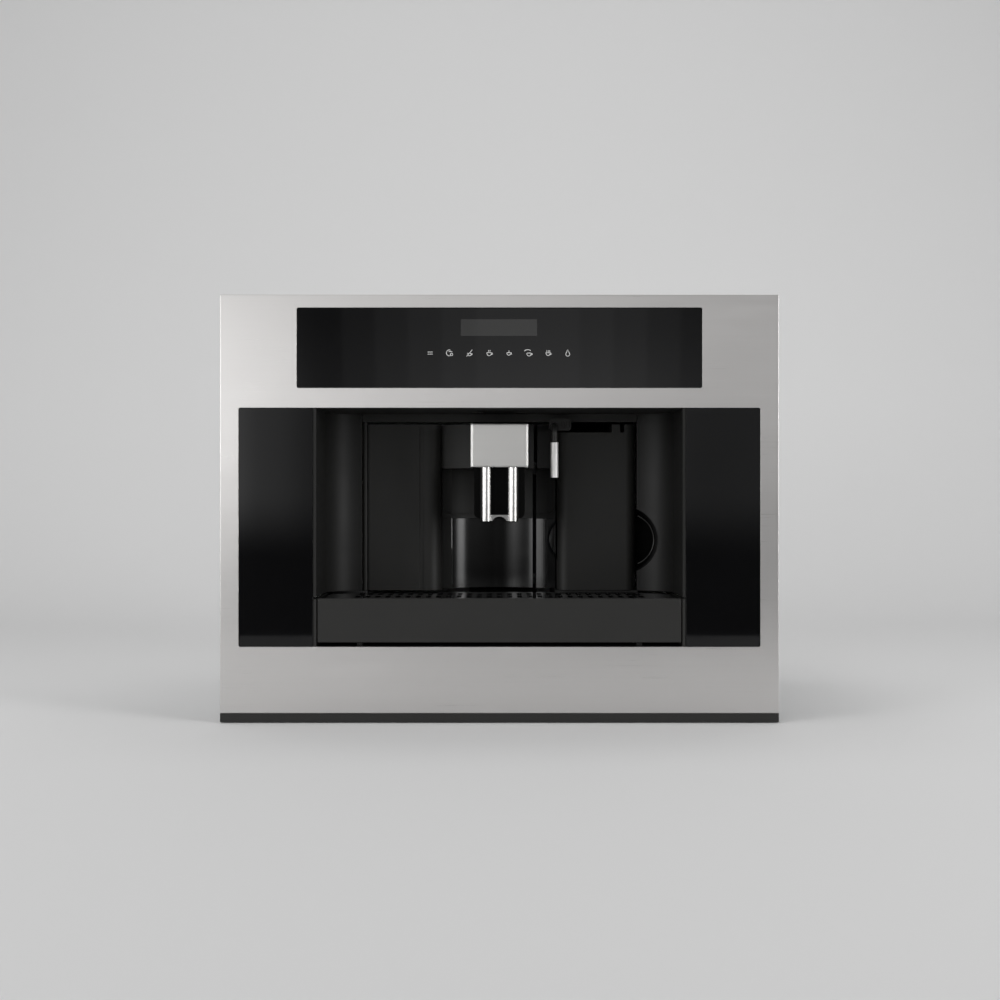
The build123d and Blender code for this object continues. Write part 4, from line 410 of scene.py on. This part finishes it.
# pieces whose finish differs a little from the rest of their slot
PIECE_FINISHES = {
    "spout_core": make_finish(
        "deep_black_spout_carrier", (0.0012, 0.0012, 0.0012), 0.28, texture_scale=60.0, texture_depth=0.5,
        bump_height=0.00001, rough_swing=0.06, colour_swing=0.2, edge=0.0010, rubbed_colour=(0.02, 0.02, 0.02),
        dust=0.01, specular=0.07),
    "niche_core": make_niche_gloss("gloss_black_niche", False),
    "niche_side_panel": make_niche_gloss("gloss_black_niche_side", True),
    "door_hinges": make_finish(
        "blackened_hinge_steel", (0.020, 0.020, 0.020), 0.45, texture_scale=300.0, rough_swing=0.2,
        colour_swing=0.2, edge=0.0003, rub=0.7, rubbed_colour=(0.16, 0.16, 0.16), dust=0.02, metal=0.5),
    "left_recess_wall": make_finish(
        "grained_recess_wall", (0.0110, 0.0109, 0.0103), 0.54, texture_scale=1400.0, bump_height=0.00004,
        rough_swing=0.14, colour_swing=0.14, haze=0.14, edge=0.0006, rub=0.2, rubbed_colour=(0.030, 0.029, 0.028),
        dust=0.02, specular=0.30),
    "hot_water_spout": make_pipe_finish(),
    "right_recess_wall": make_pocket_shade_finish(),
}
for part in frame["record"]["subparts"]:
    for material_slot in nodes[part["node"]].material_slots:
        material_slot.material = PIECE_FINISHES.get(part["node"], FINISHES[part["material_slot"]])

# ------------------------------------------------------------------ pieces


def add_piece(name, mesh_data, finish, body, smooth=False):
    """Turns a bmesh into a named piece with a finish that rides on a body."""
    mesh = bpy.data.meshes.new(name)
    bmesh.ops.recalc_face_normals(mesh_data, faces=mesh_data.faces)
    for face in mesh_data.faces:
        face.smooth = smooth
    mesh_data.to_mesh(mesh)
    mesh_data.free()
    piece = bpy.data.objects.new(name, mesh)
    piece.data.materials.append(finish)
    bpy.context.scene.collection.objects.link(piece)
    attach(piece, body)
    return piece


# ------------------------------------------------------------------ hollow rear wall of the cup niche

FLAT_DEPTH = 0.151               # flat wall at each side of the hollow, from the steel face
BULGE_R = 0.079                  # round of the solids' wall, which bulges to the front
BULGE_MIDDLE = 0.207             # its middle, from the steel face
HOLLOW_R = 0.100                 # round of the hollow
HOLLOW_EDGE = math.sqrt(BULGE_R ** 2 - (BULGE_MIDDLE - FLAT_DEPTH) ** 2)
HOLLOW_STEPS = 48                # cuts over the width, so that the round stays smooth
CUT_GAP = 0.0001                 # the lowest cut is this far under the cross housing
CUT_TOLERANCE = 0.000001
SHARP_ANGLE = math.radians(30)   # edges from here on stay sharp in the shading
HOUSING_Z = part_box("cross_housing")[0].z


def hollow_shift(x):
    """How far the bulged wall goes back at x to become the hollow one."""
    reach = min(abs(x), HOLLOW_EDGE)
    bulged = BULGE_MIDDLE - math.sqrt(BULGE_R ** 2 - reach ** 2)
    hollow = FLAT_DEPTH + math.sqrt(HOLLOW_R ** 2 - reach ** 2) - math.sqrt(HOLLOW_R ** 2 - HOLLOW_EDGE ** 2)
    return hollow - bulged


def slice_mesh(mesh_data, spot, normal):
    """Cuts new edges where a plane passes, and keeps both sides."""
    everything = mesh_data.verts[:] + mesh_data.edges[:] + mesh_data.faces[:]
    bmesh.ops.bisect_plane(mesh_data, geom=everything, dist=CUT_TOLERANCE, plane_co=spot, plane_no=normal)


def make_hollow_wall(name, node_name, body):
    """The node's wall with its round part pushed back under the cross housing. It stands for the node."""
    wall_data = bmesh.new()
    wall_data.from_mesh(nodes[node_name].data)
    for step in range(HOLLOW_STEPS + 1):
        slice_mesh(wall_data, (HOLLOW_EDGE * (2 * step / HOLLOW_STEPS - 1), 0, 0), (1, 0, 0))
    below = HOUSING_Z - CUT_GAP
    slice_mesh(wall_data, (0, 0, below), (0, 0, 1))
    for corner in wall_data.verts:
        if corner.co.z < below + CUT_GAP / 2:
            corner.co.y += hollow_shift(corner.co.x)
    wall = add_piece(name, wall_data, nodes[node_name].material_slots[0].material, body, smooth=True)
    wall.data.attributes.remove(wall.data.attributes["custom_normal"])
    wall.data.set_sharp_from_angle(angle=SHARP_ANGLE)
    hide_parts(node_name)


make_hollow_wall("hollow_niche_core", "niche_core", "service_door")
make_hollow_wall("hollow_niche_back", "niche_back", "service_door")
make_hollow_wall("hollow_side_wall", "niche_side_panel", "chassis")

# ------------------------------------------------------------------ small pieces that the solids leave out

MARK_T = 0.00012                 # thickness of a printed mark
MARK_W = 0.0006                  # width of its lines


def add_stroke(mesh_data, points, width, front_y):
    """A printed line of even width through points (x, z) on a plane that faces the user."""
    left, right = [], []
    count = len(points)
    for index, (x, z) in enumerate(points):
        before = points[max(index - 1, 0)]
        after = points[min(index + 1, count - 1)]
        along = Vector((after[0] - before[0], after[1] - before[1])).normalized()
        across = Vector((-along.y, along.x)) * width / 2
        left.append((x + across.x, z + across.y))
        right.append((x - across.x, z - across.y))
    rows = []
    for x, z in left + right:
        rows.append((mesh_data.verts.new((x, front_y, z)), mesh_data.verts.new((x, front_y + MARK_T, z))))
    for index in range(count - 1):
        a, b, c, d = index, index + 1, count + index + 1, count + index
        mesh_data.faces.new([rows[i][0] for i in (a, b, c, d)])
        mesh_data.faces.new([rows[i][1] for i in (d, c, b, a)])
        mesh_data.faces.new((rows[a][0], rows[a][1], rows[b][1], rows[b][0]))
        mesh_data.faces.new((rows[d][0], rows[c][0], rows[c][1], rows[d][1]))
    for a, b in ((0, count), (count - 1, 2 * count - 1)):
        mesh_data.faces.new((rows[a][0], rows[b][0], rows[b][1], rows[a][1]))


def arc_points(x, z, radius, start, end, steps=10, flatten=1.0):
    """Points on an arc round (x, z), angles in degrees."""
    turn = [math.radians(start + (end - start) * step / steps) for step in range(steps + 1)]
    return [(x + radius * math.cos(a), z + radius * flatten * math.sin(a)) for a in turn]


def add_cup(strokes, x, z, size, steam=0):
    """Outline of a cup seen from the side, with its handle and wisps of steam."""
    half = size / 2
    strokes.append([(x - half, z + half * 0.5)] + arc_points(x, z + half * 0.3, half * 0.95, 190, 350, 12, 1.15)
                   + [(x + half, z + half * 0.5)])
    strokes.append([(x - half, z + half * 0.5), (x + half, z + half * 0.5)])
    strokes.append(arc_points(x + half * 1.05, z + half * 0.05, half * 0.38, 80, -110, 8))
    for wisp in range(steam):
        shift = x + (wisp - (steam - 1) / 2) * half * 0.7
        strokes.append([(shift, z + half * 0.9), (shift + half * 0.18, z + half * 1.25), (shift, z + half * 1.6)])


ROW_MIDDLE, ROW_PITCH, ROW_Z = -0.0005, 0.0209, 0.3937     # row of the eight touch marks


def touch_mark_strokes():
    """Lines of the eight touch marks, from left to right, in metres."""
    row_x = [ROW_MIDDLE + ROW_PITCH * (index - 3.5) for index in range(8)]
    row_z = ROW_Z
    strokes = []
    for lift in (-0.0011, 0.0011):
        strokes.append([(row_x[0] - 0.0027, row_z + lift), (row_x[0] + 0.0027, row_z + lift)])
    strokes.append(arc_points(row_x[1] - 0.0008, row_z + 0.0002, 0.0029, 60, 300, 12, 1.1))
    strokes.append(arc_points(row_x[1] + 0.0018, row_z - 0.0014, 0.0013, 0, 360, 10))
    strokes.append([(row_x[1] - 0.0012, row_z + 0.0016), (row_x[1] + 0.0026, row_z + 0.0016)])
    add_cup(strokes, row_x[2], row_z - 0.0013, 0.0040)
    strokes.append([(row_x[2] - 0.0032, row_z - 0.0036), (row_x[2] + 0.0030, row_z + 0.0036)])
    add_cup(strokes, row_x[3], row_z - 0.0008, 0.0050, steam=2)
    add_cup(strokes, row_x[4], row_z - 0.0006, 0.0042, steam=1)
    add_cup(strokes, row_x[5] + 0.0006, row_z - 0.0012, 0.0048)
    strokes.append(arc_points(row_x[5] - 0.0008, row_z + 0.0016, 0.0034, 20, 170, 10, 0.6))
    add_cup(strokes, row_x[6], row_z - 0.0008, 0.0046, steam=3)
    drop = arc_points(row_x[7], row_z - 0.0012, 0.0021, -215, 35, 14)
    strokes.append(drop + [(row_x[7], row_z + 0.0037), drop[0]])
    return strokes


PRINT_WHITE = make_finish(
    "printed_mark_white", (0.80, 0.80, 0.79), 0.4, texture_scale=1500.0, bump_height=0.00001, rough_swing=0.1,
    colour_swing=0.08, haze=0.05, edge=0.0001, rub=0.1, rubbed_colour=(0.85, 0.85, 0.85), dust=0.0)
marks = bmesh.new()
for stroke in touch_mark_strokes():
    add_stroke(marks, stroke, MARK_W, GLASS_Y - MARK_T)
touch_marks = add_piece("touch_marks", marks, PRINT_WHITE, "chassis")

DISPLAY_GREY = make_finish(
    "display_window_grey", (0.020, 0.020, 0.0195), 0.05, texture_depth=0.2, bump_height=0.000003, rough_swing=0.02,
    haze=0.05, edge=0.0002, rub=0.1, rubbed_colour=(0.06, 0.06, 0.06), dust=0.0)
DISPLAY_X = (-0.0410, 0.0400)
DISPLAY_Z = (0.4120, 0.4297)
middle_z = sum(DISPLAY_Z) / 2
window = bmesh.new()
add_stroke(window, [(DISPLAY_X[0], middle_z), (DISPLAY_X[1], middle_z)], DISPLAY_Z[1] - DISPLAY_Z[0],
           GLASS_Y - MARK_T * 0.5)
display_window = add_piece("display_window", window, DISPLAY_GREY, "chassis")


SCREW_HEAD_R, SCREW_HEAD_H = 0.0034, 0.0016
# rings of a screw head from foot to recess: reach, height, and whether the cross shapes the ring
SCREW_RINGS = ((1.0, 0.0, False), (0.96, 0.45, False), (0.72, 0.86, False), (1.0, 1.0, True), (0.8, 0.25, True))
CROSS_ARM, CROSS_NOTCH, CROSS_HALF_ANGLE = 0.56, 0.20, 13


def close_rings(mesh_data, rings):
    """Skins rings of equally many corners and closes both ends."""
    count = len(rings[0])
    for low, high in zip(rings, rings[1:]):
        for step in range(count):
            after = (step + 1) % count
            mesh_data.faces.new((low[step], low[after], high[after], high[step]))
    mesh_data.faces.new(rings[-1])
    mesh_data.faces.new(list(reversed(rings[0])))


def add_screw(mesh_data, centre, facing):
    """A domed screw head with a cross recess, standing on centre and looking along facing."""
    facing = Vector(facing).normalized()
    side = facing.orthogonal().normalized()
    up = facing.cross(side)
    steps = 24
    rings = []
    for share, height, crossed in SCREW_RINGS:
        ring = []
        for step in range(steps):
            turn = 2 * math.pi * step / steps
            near = abs(((math.degrees(turn) + 45) % 90) - 45)
            cross = CROSS_ARM if near < CROSS_HALF_ANGLE else CROSS_NOTCH
            reach = share * cross if crossed else share
            spot = side * math.cos(turn) + up * math.sin(turn)
            rise = facing * height * SCREW_HEAD_H
            ring.append(mesh_data.verts.new(Vector(centre) + spot * reach * SCREW_HEAD_R + rise))
        rings.append(ring)
    close_rings(mesh_data, rings)


def add_tube(mesh_data, points, radius, sides=8):
    """A thin round wire through points, closed at both ends."""
    rings = []
    count = len(points)
    for index, point in enumerate(points):
        along = (Vector(points[min(index + 1, count - 1)]) - Vector(points[max(index - 1, 0)])).normalized()
        side = along.cross(Vector((0, 1, 0))).normalized()
        up = along.cross(side)
        rings.append([mesh_data.verts.new(Vector(point) + radius * (side * math.cos(turn) + up * math.sin(turn)))
                      for turn in (2 * math.pi * step / sides for step in range(sides))])
    close_rings(mesh_data, rings)


# the bead is a real shape, but its grey, lighter than the wall, is a painted highlight standing in for the lit pocket
# edge
RIM_PAINTED_HIGHLIGHT = make_finish(
    "pocket_rim_bead_painted_highlight", (0.035, 0.035, 0.033), 0.25, texture_scale=300.0, texture_depth=0.4,
    bump_height=0.00001, rough_swing=0.05, edge=0.0002, rub=0.3, rubbed_colour=(0.06, 0.06, 0.06), dust=0.0)
RIM_R = 0.0295                   # bead round the far end of the finger pocket; its lighter grey is a painted highlight of the pocket's lit edge
RIM_X, RIM_Z = 0.1474, 0.1918
RIM_DEPTH = 0.1160               # from the steel face
RIM_REACH = 68                   # degrees up and down from its right end
RIM_WIRE_R = 0.0006
rim_line = arc_points(RIM_X, RIM_Z, RIM_R, -RIM_REACH, RIM_REACH, 32)
rim = bmesh.new()
add_tube(rim, [(x, FRONT_Y + RIM_DEPTH, z) for x, z in rim_line], RIM_WIRE_R)
finger_rim = add_piece("finger_rim", rim, RIM_PAINTED_HIGHLIGHT, "chassis", smooth=True)

SCREW_STEEL = make_finish(
    "zinc_screw_head", (0.46, 0.46, 0.45), 0.32, texture_scale=500.0, bump_height=0.00002, rough_swing=0.2,
    edge=0.0002, rub=0.6, rubbed_colour=(0.7, 0.7, 0.7), dust=0.04, metal=1.0)
SCREW_SINK = 0.0003              # a head in the rear or a side starts this far inside its sheet
TOP_INSET, REAR_INSET = 0.009, 0.011
TOP_DEPTHS = (0.035, 0.20, 0.36)
REAR_HEIGHTS = (0.062, 0.250, 0.425)
SIDE_DEPTHS, SIDE_HEIGHTS = (0.05, 0.36), (0.058, 0.430)
screws = bmesh.new()
for side in (-1, 1):
    for depth in TOP_DEPTHS:
        add_screw(screws, (side * (CASING_X - TOP_INSET), FRONT_Y + depth, TOP_Z - SCREW_HEAD_H), (0, 0, 1))
    for height in REAR_HEIGHTS:
        add_screw(screws, (side * (CASING_X - REAR_INSET), REAR_Y - SCREW_SINK, height), (0, 1, 0))
    for depth in SIDE_DEPTHS:
        for height in SIDE_HEIGHTS:
            add_screw(screws, (side * (CASING_X - SCREW_SINK), FRONT_Y + depth, height), (side, 0, 0))
casing_screws = add_piece("casing_screws", screws, SCREW_STEEL, "chassis", smooth=True)

# ------------------------------------------------------------------ floor, light and camera


def make_backdrop():
    """Pale floor that rises behind the machine in one sweep."""
    sheet = bmesh.new()
    half_w, near_y, far_y, sweep_r, height = 9.0, -1.15, 2.2, 1.2, 5.0
    steps = 12
    profile = [(near_y, 0.0), (far_y - sweep_r, 0.0)]
    for step in range(1, steps + 1):
        turn = math.pi / 2 * step / steps
        profile.append((far_y - sweep_r + sweep_r * math.sin(turn), sweep_r - sweep_r * math.cos(turn)))
    profile.append((far_y, height))
    rows = [[sheet.verts.new((x, y, z)) for x in (-half_w, half_w)] for y, z in profile]
    for low, high in zip(rows, rows[1:]):
        sheet.faces.new((low[0], low[1], high[1], high[0]))
    mesh = bpy.data.meshes.new("studio_floor")
    for face in sheet.faces:
        face.smooth = True
    sheet.to_mesh(mesh)
    sheet.free()
    floor = bpy.data.objects.new("studio_floor", mesh)
    material = bpy.data.materials.new("pale_floor")
    material.use_nodes = True
    shader = material.node_tree.nodes["Principled BSDF"]
    shader.inputs["Base Color"].default_value = (0.74, 0.74, 0.74, 1.0)
    shader.inputs["Roughness"].default_value = 0.9
    shader.inputs["Specular IOR Level"].default_value = 0.2
    mesh.materials.append(material)
    bpy.context.scene.collection.objects.link(floor)


def add_softbox(name, place, target, width, height, power):
    lamp = bpy.data.lights.new(name, "AREA")
    lamp.shape = "RECTANGLE"
    lamp.size = width
    lamp.size_y = height
    lamp.energy = power
    holder = bpy.data.objects.new(name, lamp)
    holder.location = place
    holder.rotation_euler = (Vector(target) - Vector(place)).to_track_quat("-Z", "Y").to_euler()
    bpy.context.scene.collection.objects.link(holder)


make_backdrop()
MACHINE_MIDDLE = (0.0, -0.1, 0.25)
TOP_MIDDLE = (0.0, 0.35, 0.2)
GLASS_MIDDLE = (0.0, -0.2, 0.40)
add_softbox("left_softbox", (-2.3, -1.9, 0.85), MACHINE_MIDDLE, width=1.3, height=1.9, power=31.0)
add_softbox("right_softbox", (2.4, -1.7, 0.85), MACHINE_MIDDLE, width=0.9, height=1.8, power=37.0)
# panels of growing width one behind the other, so that their reflection in the glass has soft sides
for panel_w in (0.30, 0.50, 0.70, 0.90, 1.10):
    panel_place = (0.08, -2.70 - 0.10 * panel_w, 0.85)
    add_softbox("front_softbox", panel_place, GLASS_MIDDLE, width=panel_w, height=0.70, power=0.28 * panel_w)
add_softbox("top_softbox", (0.0, 0.1, 2.6), TOP_MIDDLE, width=3.0, height=1.8, power=26.0)

# brightness of the room by direction, from straight left (-1) over the front (0) to straight right (1)
ROOM_ACROSS = ((-1.0, 0.50), (-0.55, 1.20), (-0.32, 5.00), (-0.22, 3.00), (-0.165, 0.85), (-0.125, 0.30),
               (-0.03, 0.45), (0.03, 0.50), (0.09, 0.60), (0.15, 0.40), (0.28, 0.60), (0.50, 0.80), (1.0, 0.50))
# and by height, from straight down (-1) over the horizon (0) to straight up (1)
ROOM_UPWARD = ((-1.0, 0.03), (-0.040, 0.03), (0.008, 1.0), (0.06, 1.0), (0.14, 0.32), (0.35, 0.20), (1.0, 0.24))


def room_ramp(tree, direction, stops):
    """Brightness by one part of the view direction, through stops of (direction, grey)."""
    share = tree.nodes.new("ShaderNodeMapRange")
    share.inputs["From Min"].default_value = -1.0
    tree.links.new(direction, share.inputs["Value"])
    ramp = tree.nodes.new("ShaderNodeValToRGB")
    ramp.color_ramp.interpolation = "EASE"
    while len(ramp.color_ramp.elements) < len(stops):
        ramp.color_ramp.elements.new(0.5)
    for element, (place, grey) in zip(ramp.color_ramp.elements, stops):
        element.position = (place + 1) / 2
        element.color = (grey, grey, grey, 1.0)
    tree.links.new(share.outputs["Result"], ramp.inputs["Fac"])
    return ramp.outputs["Color"]


def make_studio_world():
    """Grey room: brightest at the front left, dark below the horizon and dim overhead."""
    world = bpy.data.worlds.new("studio")
    world.use_nodes = True
    tree = world.node_tree
    place = tree.nodes.new("ShaderNodeTexCoord")
    split = tree.nodes.new("ShaderNodeSeparateXYZ")
    tree.links.new(place.outputs["Generated"], split.inputs[0])
    across = room_ramp(tree, split.outputs["X"], ROOM_ACROSS)
    upward = room_ramp(tree, split.outputs["Z"], ROOM_UPWARD)
    grey = math_node(tree, "MULTIPLY", across, upward)
    tree.links.new(grey, tree.nodes["Background"].inputs["Color"])
    bpy.context.scene.world = world


scene = bpy.context.scene
make_studio_world()
scene.view_settings.view_transform = "Standard"

CAMERA_GAP = 1.480               # from the steel face
CAMERA_X, CAMERA_Z = 0.0006, 0.2374
PHOTO_WIDTH = 1.0634             # width that the photograph shows at the steel face
camera_data = bpy.data.cameras.new("camera")
camera_data.sensor_width = 36.0
camera_data.lens = camera_data.sensor_width * CAMERA_GAP / PHOTO_WIDTH
camera = bpy.data.objects.new("camera", camera_data)
camera.location = (CAMERA_X, FRONT_Y - CAMERA_GAP, CAMERA_Z)
camera.rotation_euler = (math.pi / 2, 0.0, 0.0)
scene.collection.objects.link(camera)
scene.camera = camera
